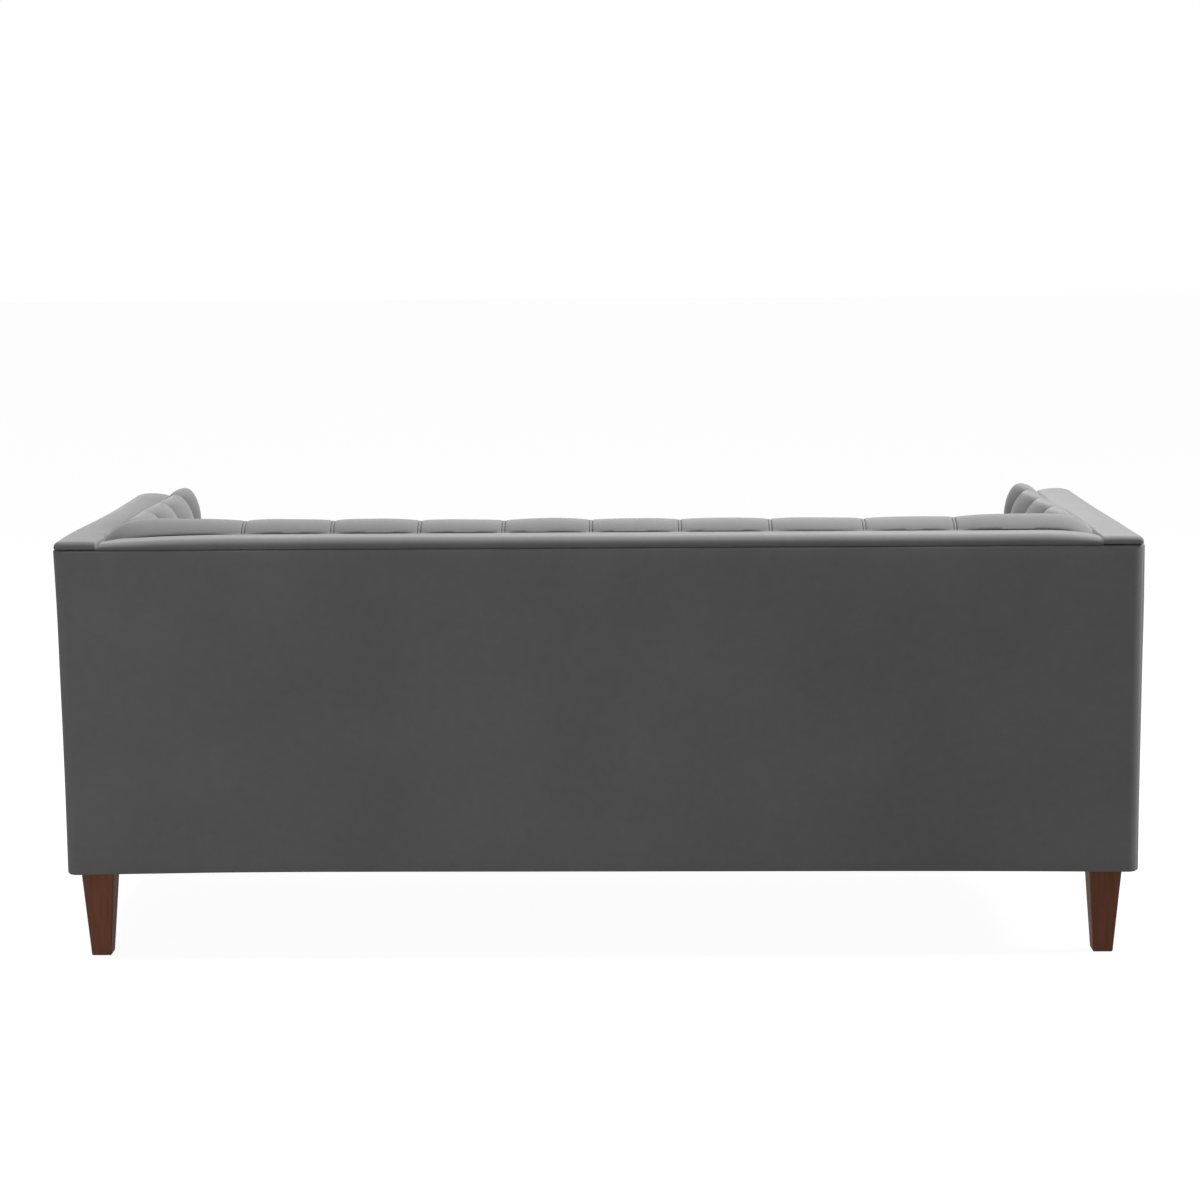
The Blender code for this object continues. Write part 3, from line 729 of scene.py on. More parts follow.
def make_outside_back(materials):
    line = back_line()
    low, high = BACK_LOW.z, BACK_HIGH.z
    rings = []
    for height in rounded_places(low, high, HEM_ROUND, SEAM_ROUND, PANEL_STEP):
        drawn = drawn_in(height, low, high, HEM_ROUND, SEAM_ROUND)
        ring = []
        for point, out, away in line:
            share = 0.5 + point.x / (2 * HALF_WIDTH)
            swell = panel_swell(share, share_of(height, low, high), (point.x, 0.0, height), abs(out.y))
            moved = point + out * (swell - drawn - pinch(away))
            sign = math.copysign(1, point.x)
            spread_out = sign * side_swell(sign, height) * (point.x / HALF_WIDTH) ** SIDE_SWELL_FADE
            droop = hem_droop(point.x, height, fading(HALF_WIDTH - abs(point.x), HEM_DROOP_REACH))
            ring.append((moved.x + spread_out, max(moved.y, BACK_LOW.y), height - droop))
        inside = 1 - CORNER_RADIUS / HALF_WIDTH
        ring += [(x * inside, BACK_LOW.y, z) for x, _, z in reversed(ring)]
        rings.append(ring)
    add_cover("outside_back", loft(rings, thin=True), materials, "outside_back_panel")


def arm_line():
    """The right outside arm seen from above, from the rear seam to the front: point, outward direction,
    distance to a seam."""
    line = []
    first = corner_turns()[0]
    for i in range(CORNER_STEPS + 1):
        turn = first * (1 - i / CORNER_STEPS)
        point, out = corner_point(turn)
        line.append((Vector((point.x, min(point.y, ARM_HIGH.y))), out, CORNER_RADIUS * (first - turn)))
    start = line[-1][0].y
    for y in spread(start, ARM_LOW.y, PANEL_STEP)[1:]:
        away = min(start - y + CORNER_RADIUS * first, y - ARM_LOW.y)
        line.append((Vector((HALF_WIDTH, y)), Vector((1.0, 0.0)), away))
    return line


def outside_arm_shape(sign):
    """An outside arm, made for the right and mirrored where it is the left."""
    low, high = ARM_LOW.z, ARM_HIGH.z
    rings = []
    for height in rounded_places(low, high, HEM_ROUND, SEAM_ROUND, PANEL_STEP):
        drawn = drawn_in(height, low, high, HEM_ROUND, SEAM_ROUND)
        ring = []
        for point, out, away in arm_line():
            share = share_of(point.y, ARM_LOW.y, ARM_HIGH.y)
            place = (WAVE_PLACE["arm"] * sign, point.y, height)
            swell = panel_swell(share, share_of(height, low, high), place, abs(out.x))
            moved = point + out * (swell - drawn - pinch(away))
            spread_out = side_swell(sign, height) * (SIDE_SWELL_FRONT + (1 - SIDE_SWELL_FRONT) * share)
            droop = hem_droop(sign * point.x, height, fading(REAR - point.y, HEM_DROOP_REACH), share)
            x = sign * max(moved.x + spread_out, ARM_LOW.x)
            ring.append((x, min(moved.y, ARM_HIGH.y), height - droop))
        depths = spread(ARM_LOW.y, ARM_HIGH.y, (ARM_HIGH.y - ARM_LOW.y) / (len(ring) - 1))
        ring += [(sign * ARM_LOW.x, y, point[2]) for y, point in zip(depths, reversed(ring))]
        rings.append(ring)
    return loft(rings, thin=True)


def narrowed(sign, across, height, forward):
    """A place across an arm pad, whose upper part draws out from the seat towards the front."""
    if across > ARM_PAD_OUTER:
        return across
    climb = smooth(share_of(height, ARM_FRONT_NARROW_FOOT, ARM_FRONT_NARROW_HEAD))
    share = ARM_FRONT_NARROW[sign] * forward * climb / ARM_PAD_THICKNESS
    return ARM_PAD_OUTER - (ARM_PAD_OUTER - across) * (1 - share)


def inner_flare(sign, y):
    """How much further than at its rear an arm's strip reaches towards the seat."""
    return STRIP_INNER_FLARE[sign] * smooth(share_of(y, *STRIP_INNER_FLARE_SPAN[sign]))


def flared(sign, across, y, height):
    """A place across an arm, drawn towards the seat where the arm's strip is wider."""
    middle = (STRIP_LOW.x + HALF_WIDTH) / 2
    if across < STRIP_LOW.x:
        share = share_of(across, SEAT_SIDE, STRIP_LOW.x)
    else:
        share = share_of(across, middle, STRIP_LOW.x)
    climb = smooth(share_of(height, STRIP_INNER_FLARE_FOOT, SEAM))
    return across - inner_flare(sign, y) * max(share, 0.0) * climb


def arm_front_top(across):
    """The height of an arm's front at a distance from the middle: the pad's round top, then the strip."""
    if across < STRIP_LOW.x:
        radius = ARM_PAD_THICKNESS / 2
        away = SEAT_SIDE + radius - across
        share = away / radius if away > 0 else away / back_half(radius, ARM_CREASE)
        height, _, up = pad_top(share, radius, ARM_CREASE[-1])
        height -= ARM_FRONT_DROP * up
        return max(height, PAD_NOTCH) if away < 0 else height
    half = (HALF_WIDTH - STRIP_LOW.x) / 2
    crown = crown_rise(across - HALF_WIDTH + half, half, STRIP_CROWN_FRONT)
    drawn = drawn_in(across, STRIP_LOW.x, HALF_WIDTH, STRIP_INNER_ROUND, STRIP_ROUND)
    return TOP + crown - drawn - ARM_FRONT_STEP


def arm_front_shape(sign):
    """The panel that closes the front of an arm, made for the right and mirrored where it is the left."""
    low = ARM_FRONT_LOW.z
    radius = ARM_PAD_THICKNESS / 2
    turns = [math.pi * i / PAD_TOP_STEPS for i in range(PAD_TOP_STEPS)]
    columns = [SEAT_SIDE + radius * (1 - math.cos(turn)) for turn in turns]
    pad_end, strip_start = (STRIP_LOW.x - away for away in ARM_FRONT_VALLEY)
    columns = [x for x in columns if x < pad_end]
    columns += rounded_places(strip_start, HALF_WIDTH, STRIP_INNER_ROUND, STRIP_ROUND, TOP_STEP)
    rows = rounded_places(0.0, 1.0, ARM_FRONT_ROW_ROUND, ARM_FRONT_ROW_ROUND, ARM_FRONT_ROW_STEP)

    def aside(across, height):
        narrow = narrowed(sign, across, height, ARM_FRONT_PANEL_NARROW)
        return sign * flared(sign, narrow, FRONT, height)

    def front(across, share):
        top = arm_front_top(across)
        height = low + (top - low) * share
        edge = min(across - SEAT_SIDE, HALF_WIDTH - across, top - height, height - low)
        drawn = drawn_in(edge, 0.0, 1.0, ARM_FRONT_ROUND, ARM_FRONT_ROUND)
        swell = ARM_FRONT_BULGE * pillow(share_of(across, SEAT_SIDE, HALF_WIDTH), share)
        return aside(across, height), FRONT + drawn - swell, height

    def back(across, share):
        height = low + (arm_front_top(across) - low) * share
        return aside(across, height), ARM_FRONT_HIGH.y, height

    return plate(columns, rows, front, back)


def make_front_rail(materials):
    columns = spread(RAIL_LOW.x, RAIL_HIGH.x, PANEL_STEP)
    rows = rounded_places(RAIL_LOW.z, RAIL_HIGH.z, HEM_ROUND, SEAM_ROUND, PANEL_STEP / 2)

    def front(x, height):
        drawn = drawn_in(height, RAIL_LOW.z, RAIL_HIGH.z, HEM_ROUND, SEAM_ROUND)
        shares = share_of(x, RAIL_LOW.x, RAIL_HIGH.x), share_of(height, RAIL_LOW.z, RAIL_HIGH.z)
        return x, FRONT + drawn - panel_swell(*shares, (x, WAVE_PLACE["rail"], height)), height

    shape = plate(columns, rows, front, lambda x, height: (x, RAIL_HIGH.y, height))
    add_cover("front_rail_cover", shape, materials, "front_rail_panel")


# Flat top pads

def arc(middle, radius, start, end):
    """Points of an arc between two turns, in degrees."""
    points = []
    for i in range(ROUND_STEPS + 1):
        turn = math.radians(start + (end - start) * i / ROUND_STEPS)
        points.append((middle[0] + radius * math.cos(turn), middle[1] + radius * math.sin(turn)))
    return points


def top_section(half, height, outer_round, inner_round, foot_round):
    """A flat pad in section, as (across from its middle, height above its foot)."""
    section = arc((half - foot_round, foot_round), foot_round, -90, 0)
    section += arc((half - outer_round, height - outer_round), outer_round, 0, 90)
    step = (2 * half - outer_round - inner_round) / TOP_FLAT_STEPS
    section += [(half - outer_round - step * i, height) for i in range(1, TOP_FLAT_STEPS)]
    section += arc((inner_round - half, height - inner_round), inner_round, 90, 180)
    section += [(-half, foot_round), (-half, 0.0)]
    return section


def crown_rise(across, half, crown):
    """How far a crowned pad's top stands above a flat one's."""
    return crown * (1 - abs(across / half) ** CROWN_SHAPE)


def strip_shape(sign):
    """An arm's flat strip, made for the right and mirrored where it is the left."""
    half = (HALF_WIDTH - STRIP_LOW.x) / 2
    middle = HALF_WIDTH - half
    height = TOP - SEAM
    rings = []
    for y in rounded_places(STRIP_LOW.y, REAR, STRIP_FRONT_ROUND, STRIP_END_ROUND, TOP_STEP):
        rounder = smooth(share_of(REAR - y, *STRIP_INNER_ROUND_SPAN))
        inner_round = STRIP_INNER_ROUND_REAR + (STRIP_INNER_ROUND - STRIP_INNER_ROUND_REAR) * rounder
        section = top_section(half, height, STRIP_ROUND, inner_round, STRIP_FOOT_ROUND)
        rear_drop = 1 - domed(REAR - y, STRIP_END_ROUND)
        front_drop = 1 - domed(y - STRIP_LOW.y, STRIP_FRONT_ROUND)
        keep = 1 - (rear_drop * STRIP_END_ROUND + front_drop * STRIP_FRONT_ROUND) / height
        corner = rear_drop * STRIP_END_CORNER[sign]
        towards_front = share_of(y, REAR, STRIP_LOW.y)
        crown = STRIP_CROWN_REAR + (STRIP_CROWN_FRONT - STRIP_CROWN_REAR) * towards_front**2
        flare = STRIP_FLARE[sign] * hump(REAR - y, STRIP_FLARE_MIDDLE, STRIP_FLARE_REACH)
        flare -= STRIP_WAIST[sign] * hump(REAR - y, STRIP_WAIST_MIDDLE, STRIP_WAIST_REACH)
        undercut = STRIP_UNDERCUT * max(1 - ((REAR - y) / STRIP_UNDERCUT_REACH) ** 2, 0.0)
        ring = []
        for across, up in section:
            lift = wave((across, y, WAVE_PLACE["strip"]), PANEL_WAVE, PANEL_WAVE_SCALE)
            lift = (lift + crown_rise(across, half, crown)) * min(up / height, 1.0)
            x = flared(sign, middle + across, y, SEAM) + (flare - corner) * max(across / half, 0.0)
            ring.append((sign * x, y, SEAM + max((up + lift) * keep, undercut)))
        rings.append(ring)
    return loft(rings)


def band_taper(x):
    """How much lower than in its middle the band's top is at a place along it."""
    sign = math.copysign(1, x)
    return BAND_TAPER[sign] * fading(BAND_HIGH.x - abs(x), BAND_TAPER_REACH[sign]) ** 2


def make_back_band(materials):
    half = (REAR - BAND_LOW.y) / 2
    middle = REAR - half
    height = BAND_HIGH.z - SEAM
    section = top_section(half, height, BAND_ROUND, BAND_FRONT_ROUND, BAND_FOOT_ROUND)
    rings = []
    for x in rounded_places(BAND_LOW.x, BAND_HIGH.x, BAND_END_REACH[-1], BAND_END_REACH[1], TOP_STEP):
        sign = math.copysign(1, x)
        away = BAND_HIGH.x - abs(x)
        drop = (1 - domed(away, BAND_END_REACH[sign])) * BAND_END_DROP[sign]
        keep = 1 - (drop + band_taper(x)) / height
        corner = BAND_CORNER_DROP[sign] * fading(away, BAND_CORNER_REACH) ** 2
        ring = []
        for across, up in section:
            lift = wave((x, across, WAVE_PLACE["band"]), BAND_WAVE, PANEL_WAVE_SCALE)
            lift += crown_rise(across, half, BAND_CROWN) - corner * max(-across / half, 0.0)
            lift *= min(up / height, 1.0)
            ring.append((x, middle + across, SEAM + (up + lift) * keep))
        rings.append(ring)
    add_cover("back_band", loft(rings), materials, "back_top_band")


# Tufted pads

def fullness(share):
    """How full a tuft is at a share of the way across it: 0 at its seams and 1 in its middle."""
    return (1 - abs(2 * clamped(share) - 1) ** TUFT_FLATNESS) ** TUFT_STEEPNESS


def row_fullness(height):
    """How full the tufts are at a height, between the pleats that run across the pad."""
    rows = (height - PAD_BOTTOM) / ROW_HEIGHT
    if rows > TUFT_ROWS - 1:
        return fullness((rows - TUFT_ROWS + 1) / 2)
    return fullness(rows - math.floor(rows + TINY))


def row_pleats():
    """The heights of the pleats that run across a pad."""
    return [PAD_BOTTOM + row * ROW_HEIGHT for row in range(1, TUFT_ROWS)]


def pad_top(across, radius, rear_shape):
    """A pad's round top at a share of its half thickness, from 1 at its face to -1 at its back: the height,
    the inward direction and the share of the rise."""
    level = max(1 - across**2, TINY)
    if across > 0:
        foot, shape = PAD_SHOULDER_HEIGHT, PAD_TOP_SHAPE
    else:
        foot, shape = PAD_BACK_HEIGHT, rear_shape
    rise = PAD_CREST - foot
    up = level**shape
    inward = Vector((-2 * across * shape * rise * level ** (shape - 1) / radius, -1.0)).normalized()
    return foot + rise * up, inward, up


def back_half(radius, crease):
    """How wide the rear half of a pad's round top is, to end at its crease with the strip beside it."""
    width, height, shape = crease
    climb = share_of(height, PAD_BACK_HEIGHT, PAD_CREST)
    return (radius + STRIP_LOW.x - ARM_PAD_OUTER - width) / math.sqrt(1 - climb ** (1 / shape))


def face_lean(rake, height):
    """How much further out than its shoulder the face of a raked pad is at a height."""
    return rake * max(PAD_SHOULDER_HEIGHT - height, 0.0) / (PAD_SHOULDER_HEIGHT - PAD_BOTTOM)


def pad_section(thickness, rake, top_depth, seam_span, crease):
    """A tufted pad in section, from the foot of its face over the top to the foot of its back.

    seam_span is where across the top its seams fade in. crease is the width and height at which the top
    ends, and the shape of the top's rear half. Each entry is (distance from the back, height, inward
    direction, seam depth of the face, seam depth of the top, row fullness, pleat share, lift share).
    """
    crease_width, crease_height, rear_shape = crease
    face = []
    for row in range(TUFT_ROWS):
        foot = PAD_BOTTOM + row * ROW_HEIGHT
        head = foot + ROW_HEIGHT
        heights = graded(foot, head, BESIDE_ROW, TUFT_STEP)[:-1]
        face += [height for height in heights if height < PAD_SHOULDER_HEIGHT - SHOULDER_CLEAR]
    section = []
    for height in face:
        out = thickness + face_lean(rake, height)
        section.append((out, height, (-1.0, 0.0), TUFT_DEPTH, 0.0, row_fullness(height), 1.0, 0.0))
    radius = thickness / 2
    for step in range(PAD_TOP_STEPS + 1):
        across = math.cos(math.pi * step / PAD_TOP_STEPS)
        half = radius if across > 0 else back_half(radius, crease)
        height, inward, up = pad_top(across, half, rear_shape)
        if across < 0 and height < crease_height:
            break
        left = smooth(share_of(across, *seam_span))
        face_depth = TUFT_DEPTH * (1 - up) if across > 0 else 0.0
        depth = top_depth * left * (up if across > 0 else 1.0)
        out = radius + across * half
        section.append((out, height, inward, face_depth, depth, row_fullness(height), left, up))
    section = eased(section)
    edge = ARM_PAD_OUTER - STRIP_LOW.x + crease_width
    fold = PAD_LIP_HEIGHTS[0] - crease_height
    hidden = [(edge + further, crease_height + fold * drop) for further, drop in PAD_CREASE_FOLD]
    hidden += [(PAD_LIP, height) for height in PAD_LIP_HEIGHTS]
    hidden += [(0.0, PAD_LIP_FOOT), (0.0, PAD_BOTTOM)]
    for out, height in hidden:
        section.append((out, height, (0.0, 0.0), 0.0, 0.0, 0.0, 0.0, 0.0))
    return section


def eased(section):
    """A pad's section with no edge where its face meets its round top."""
    spots = [Vector(entry[:2]) for entry in section]
    for _ in range(SHOULDER_ROUNDS):
        softer = [(a + 2 * b + c) / 4 for a, b, c in zip(spots, spots[1:], spots[2:])]
        for i, spot in enumerate(softer, start=1):
            if abs(spots[i].y - PAD_SHOULDER_HEIGHT) < SHOULDER_REACH:
                spots[i] = spot
    return [(spot.x, spot.y, *entry[2:]) for spot, entry in zip(spots, section)]


def pleat(along, seams):
    """How far the two lines of a folded seam draw the cover in, at a place along the pad."""
    away = min((along - seam for seam in seams), key=abs)
    first, second = (hump(away, middle, PLEAT_WIDTH) for middle in (-PLEAT_HALF, PLEAT_HALF))
    return PLEAT_DEPTH * (first + PLEAT_SECOND * second)


def dimple(along, height, seams):
    """How far the nearest button draws the cover in."""
    if height > PAD_SHOULDER_HEIGHT:
        return 0.0
    aside = min(abs(along - seam) for seam in seams)
    up = min(abs(height - row) for row in row_pleats())
    return DIMPLE_DEPTH * math.exp(-(aside**2 + up**2) / (2 * DIMPLE_REACH**2))


def column_fullness(along, seams):
    """How full the tufts are at a place along a pad, between the two column seams beside it."""
    for start, end in zip(seams, seams[1:]):
        if start <= along <= end:
            return fullness(share_of(along, start + PLEAT_HALF, end - PLEAT_HALF))
    return 0.0


def pad_ring(section, along, inner, place, full, seed):
    """A pad's section at a place along it. inner lists the column seams, place turns (along, out, height)
    into a point, and full gives the fullness of the face and of the top at a place along, and the lift of
    the top there."""
    face_full, top_full, lift = full(along)
    fold = pleat(along, inner)
    ring = []
    for out, height, inward, face_depth, top_depth, row, shown, lifted in section:
        drawn = face_depth * (1 - face_full * row) + top_depth * (1 - top_full * row) - lift * lifted
        drawn += (fold + dimple(along, height, inner)) * shown
        drawn += wave((along, height + out, seed), PAD_WAVE, PAD_WAVE_SCALE) * shown * face_full
        ring.append(place(along, out + inward[0] * drawn, height + inward[1] * drawn))
    return ring


def tufted_pad(section, seams, place, full, seed):
    """A pad between the two ends of its seams, and the two rows of stitches along each inner seam."""
    stations = [seams[0]]
    for start, end in zip(seams, seams[1:]):
        stations += graded(start, end, BESIDE_SEAM, TUFT_STEP)[1:]
    inner = seams[1:-1]
    rings = [pad_ring(section, along, inner, place, full, seed) for along in stations]
    shown = [i for i, entry in enumerate(section) if entry[-2] > STITCH_SHARE]
    stitches = []
    for seam in inner:
        for along in (seam - PLEAT_HALF, seam + PLEAT_HALF):
            ring = pad_ring(section, along, inner, place, full, seed)
            stitches.append(tube([ring[i] for i in shown], STITCH_RADIUS, sides=6, closed=False))
    return loft(rings), joined(stitches)


def back_seams():
    """The places along X of the inside back's column seams, which drift a little towards the right arm."""
    seams = []
    for number in range(1, BACK_COLUMNS):
        x = (number - BACK_COLUMNS / 2) * BACK_COLUMN_WIDTH
        away = (x - SEAM_DRIFT_MIDDLE) / SEAM_DRIFT_REACH
        seams.append(x + SEAM_DRIFT * math.exp(-(away**SEAM_DRIFT_SHAPE)))
    return seams


def arm_pad_end(height):
    """Where an arm pad ends at a height, against the raked face of the inside back."""
    return SEAT_REAR - GAP + BACK_RAKE - face_lean(BACK_RAKE, height)


def face_gap(height):
    """How much further back than a flat raked face the ends of the inside back are at a height."""
    climb = clamped(share_of(height, PAD_SHOULDER_HEIGHT, PAD_CREST))
    round_top = BACK_PAD_THICKNESS / 2 * (1 - math.sqrt(1 - climb ** (1 / PAD_TOP_SHAPE)))
    return round_top + TUFT_DEPTH * (1 - climb) * (1 - row_fullness(height))


def puff_lift(x):
    """How much higher than the rest the inside back's top is at a place along it."""
    number = clamped(x / BACK_COLUMN_WIDTH + (BACK_COLUMNS - 1) / 2, 0.0, BACK_PUFF_LAST)
    first = int(number)
    start, end = BACK_PUFF_LIFT[first:first + 2]
    return start + (end - start) * (number - first)


def button(middle, facing):
    """A covered button: a low dome on a short round edge."""
    turn = Vector(facing).to_track_quat("Z", "Y").to_matrix()
    rings = list(BUTTON_FOOT)
    for i in range(1, BUTTON_RINGS + 1):
        angle = math.pi / 2 * i / (BUTTON_RINGS + 1)
        rings.append((math.cos(angle), BUTTON_EDGE + BUTTON_DOME * math.sin(angle)))
    loops = []
    for share, up in rings:
        loop = []
        for k in range(BUTTON_SIDES):
            a = 2 * math.pi * k / BUTTON_SIDES
            spot = Vector((math.cos(a), math.sin(a), 0.0)) * BUTTON_RADIUS * share
            loop.append(Vector(middle) + turn @ (spot + Vector((0.0, 0.0, up))))
        loops.append(loop)
    return loft(loops)


def make_inside_back(materials):
    section = pad_section(BACK_PAD_THICKNESS, BACK_RAKE, BACK_TOP_DEPTH, BACK_SEAM_SPAN, BACK_CREASE)
    seams = [-BACK_END, *back_seams(), BACK_END]

    def place(along, out, height):
        x = along
        if height < SEAM and abs(along) > BACK_FACE_END:
            narrower = share_of(BACK_PAD_HIGH.x, BACK_FACE_END, BACK_END)
            x = math.copysign(BACK_FACE_END + (abs(along) - BACK_FACE_END) * narrower, along)
        least = 0.0
        if height > SEAM:
            least = SEAM + BACK_END_CLEAR + BACK_END_SLOPE * (height - PAD_LIP_FOOT)
        if height > BACK_END_HEIGHT:
            rise = height - BACK_END_HEIGHT
            rise += puff_lift(along) * (rise / (PAD_CREST - BACK_END_HEIGHT)) ** BACK_PUFF_LIFT_SHAPE
            away = BACK_END + BACK_END_START - abs(along)
            height = BACK_END_HEIGHT + rise * domed(away, BACK_END_REACH)
            height -= band_taper(along) * fading(2 * out, BACK_PAD_THICKNESS)
            if out > PAD_LIP:
                near_end = fading(BACK_END - abs(along), BACK_NOTCH_REACH)
                out += BACK_NOTCH[math.copysign(1, along)] * near_end * fading(out, BACK_NOTCH_SPAN)
        return x, BACK_PAD_REAR - out, max(height, least)

    def full(along):
        in_front = clamped(along, -BACK_FACE_END, BACK_FACE_END)
        return column_fullness(in_front, seams), column_fullness(along, seams), 0.0

    shape, stitches = tufted_pad(section, seams, place, full, WAVE_PLACE["back_pad"])
    add_cover("inside_back", shape, materials, "inside_back_pad")
    # Stitch lines along the back's seams, near-black as painted shade of the seam grooves
    add_piece("inside_back_shade_stitches", stitches, materials["shade_thread"])
    buttons = []
    for height in row_pleats():
        out = BACK_PAD_THICKNESS + face_lean(BACK_RAKE, height) - TUFT_DEPTH - DIMPLE_DEPTH
        for seam in back_seams():
            buttons.append(button((seam, BACK_PAD_REAR - out, height), BACK_BUTTON_FACING))
    add_piece("inside_back_buttons", joined(buttons), materials["velvet"])


def arm_fullness(along, seams):
    """How full an arm pad's face and its top are at a place along it, and how far the top is lifted there:
    the first tuft rises and then slopes to the front."""
    forward = 1 - along / seams[1]
    if forward < 0:
        column = column_fullness(along, seams)
        return column, column, 0.0
    if forward < ARM_FIRST_PEAK:
        column = fullness(forward / ARM_FIRST_PEAK / 2)
        return column, column, column * ARM_FIRST_RISE
    drop = share_of(forward, ARM_FIRST_PEAK, 1.0) ** ARM_FIRST_SHAPE
    return 1 - drop * (1 - ARM_FRONT_FACE_FULLNESS), 1.0, ARM_FIRST_RISE - drop * ARM_FIRST_FALL


def inside_arm(sign):
    """An inside arm's pad, stitches and buttons, made for the right and mirrored where it is the left."""
    section = pad_section(ARM_PAD_THICKNESS, 0.0, ARM_TOP_DEPTH, ARM_SEAM_SPAN, ARM_CREASE)
    length = SEAT_REAR + BACK_RAKE - ARM_PAD_LOW.y
    seams = [length * number / ARM_COLUMNS for number in range(ARM_COLUMNS + 1)]

    def place(along, out, height):
        y = ARM_PAD_LOW.y + along / length * (arm_pad_end(height) - ARM_PAD_LOW.y)
        forward = fading(along, seams[1])
        x = flared(sign, narrowed(sign, ARM_PAD_OUTER - out, height, forward), y, height)
        crevice = hump(y, ARM_CREVICE_MIDDLE, ARM_CREVICE_REACH)
        if out == PAD_LIP:
            height -= ARM_CREVICE_DEPTH * crevice
        elif height > SEAM:
            x -= ARM_CREVICE_WIDTH * crevice * fading(out, ARM_CREVICE_SPAN)
        if height > ARM_END_HEIGHT:
            height = ARM_END_HEIGHT + (height - ARM_END_HEIGHT) * domed(length - along, ARM_END_REACH)
        y += face_gap(height) * fading(length - along, ARM_END_REACH)
        return sign * x, y, height

    def full(along):
        return arm_fullness(along, seams)

    shape, stitches = tufted_pad(section, seams, place, full, WAVE_PLACE["arm_pad"])
    buttons = []
    for height in row_pleats():
        for seam in seams[1:-1]:
            middle = place(seam, ARM_PAD_THICKNESS - TUFT_DEPTH - DIMPLE_DEPTH, height)
            buttons.append(button(middle, (-sign, 0.0, 0.0)))
    return shape, stitches, joined(buttons)


def make_inside_arms(materials):
    for side, sign in SIDES:
        shape, stitches, buttons = inside_arm(sign)
        add_cover(f"inside_arm_{side}", shape, materials, f"inside_arm_pad_{side}")
        add_piece(f"inside_arm_buttons_{side}", buttons, materials["velvet"])
        # Stitch lines along the arm's seams, near-black as painted shade of the seam grooves
        add_piece(f"inside_arm_shade_stitches_{side}", stitches, materials["shade_thread"])


# Loose seat cushions

def cushion_corners():
    """The lowest and highest corner of the shape that is blown up into a cushion."""
    inset = Vector((CUSHION_INSET, CUSHION_INSET, 0.0))
    return CUSHION_LOW + inset, CUSHION_HIGH - inset - Vector((0.0, 0.0, CUSHION_CROWN))


def cushion_outline(height):
    """The line round the unblown cushion at a height, with round corners."""
    low, high = cushion_corners()
    line = []
    for number, (x, y) in enumerate(((high.x, high.y), (low.x, high.y), (low.x, low.y), (high.x, low.y))):
        middle_x = clamped(x, low.x + CUSHION_CORNER, high.x - CUSHION_CORNER)
        middle_y = clamped(y, low.y + CUSHION_CORNER, high.y - CUSHION_CORNER)
        for i in range(CUSHION_CORNER_STEPS + 1):
            turn = math.pi / 2 * (number + i / CUSHION_CORNER_STEPS)
            across, along = CUSHION_CORNER * math.cos(turn), CUSHION_CORNER * math.sin(turn)
            line.append(Vector((middle_x + across, middle_y + along, height)))
    return line


def cushion_start():
    """The unblown cushion, as fine even faces."""
    low, high = cushion_corners()
    points, faces = loft([cushion_outline(low.z), cushion_outline(high.z)])
    mesh = bpy.data.meshes.new("cushion_start")
    mesh.from_pydata(points, [], faces)
    obj = bpy.data.objects.new("cushion_start", mesh)
    bpy.context.scene.collection.objects.link(obj)
    voxels = obj.modifiers.new("voxels", "REMESH")
    voxels.mode = "VOXEL"
    voxels.voxel_size = CUSHION_VOXEL
    even = bpy.data.meshes.new_from_object(obj.evaluated_get(bpy.context.evaluated_depsgraph_get()))
    obj.modifiers.clear()
    obj.data = even
    return obj


def places_of(mesh):
    places = np.empty(3 * len(mesh.vertices), dtype=np.float32)
    mesh.vertices.foreach_get("co", places)
    return places.reshape(-1, 3).astype(float)


def blown_up(obj):
    """How far air pressure moves a cloth's points: not down into the deck, and with a cap."""
    scene = bpy.context.scene
    cloth = obj.modifiers.new("cloth", "CLOTH")
    cloth.settings.use_pressure = True
    cloth.settings.uniform_pressure_force = CUSHION_PRESSURE
    cloth.settings.effector_weights.gravity = 0.0
    for number in range(1, CUSHION_FRAMES + 1):
        scene.frame_set(number)
    shown = obj.evaluated_get(bpy.context.evaluated_depsgraph_get())
    moves = places_of(shown.data) - places_of(obj.data)
    obj.modifiers.clear()
    scene.frame_set(1)
    moves[:, 2] = np.maximum(moves[:, 2], 0.0)
    lengths = np.linalg.norm(moves, axis=1, keepdims=True)
    return moves * np.minimum(1.0, CUSHION_CAP / np.maximum(lengths, CUSHION_CAP))


def evened(moves, mesh):
    """Moves evened out between neighbouring points, which takes small wrinkles out."""
    edges = np.array([edge.vertices[:] for edge in mesh.edges])
    neighbours = np.bincount(edges.ravel(), minlength=len(moves))[:, None]
    for _ in range(CUSHION_EVENING):
        total = moves.copy()
        np.add.at(total, edges[:, 0], moves[edges[:, 1]])
        np.add.at(total, edges[:, 1], moves[edges[:, 0]])
        moves = total / (neighbours + 1)
    return moves


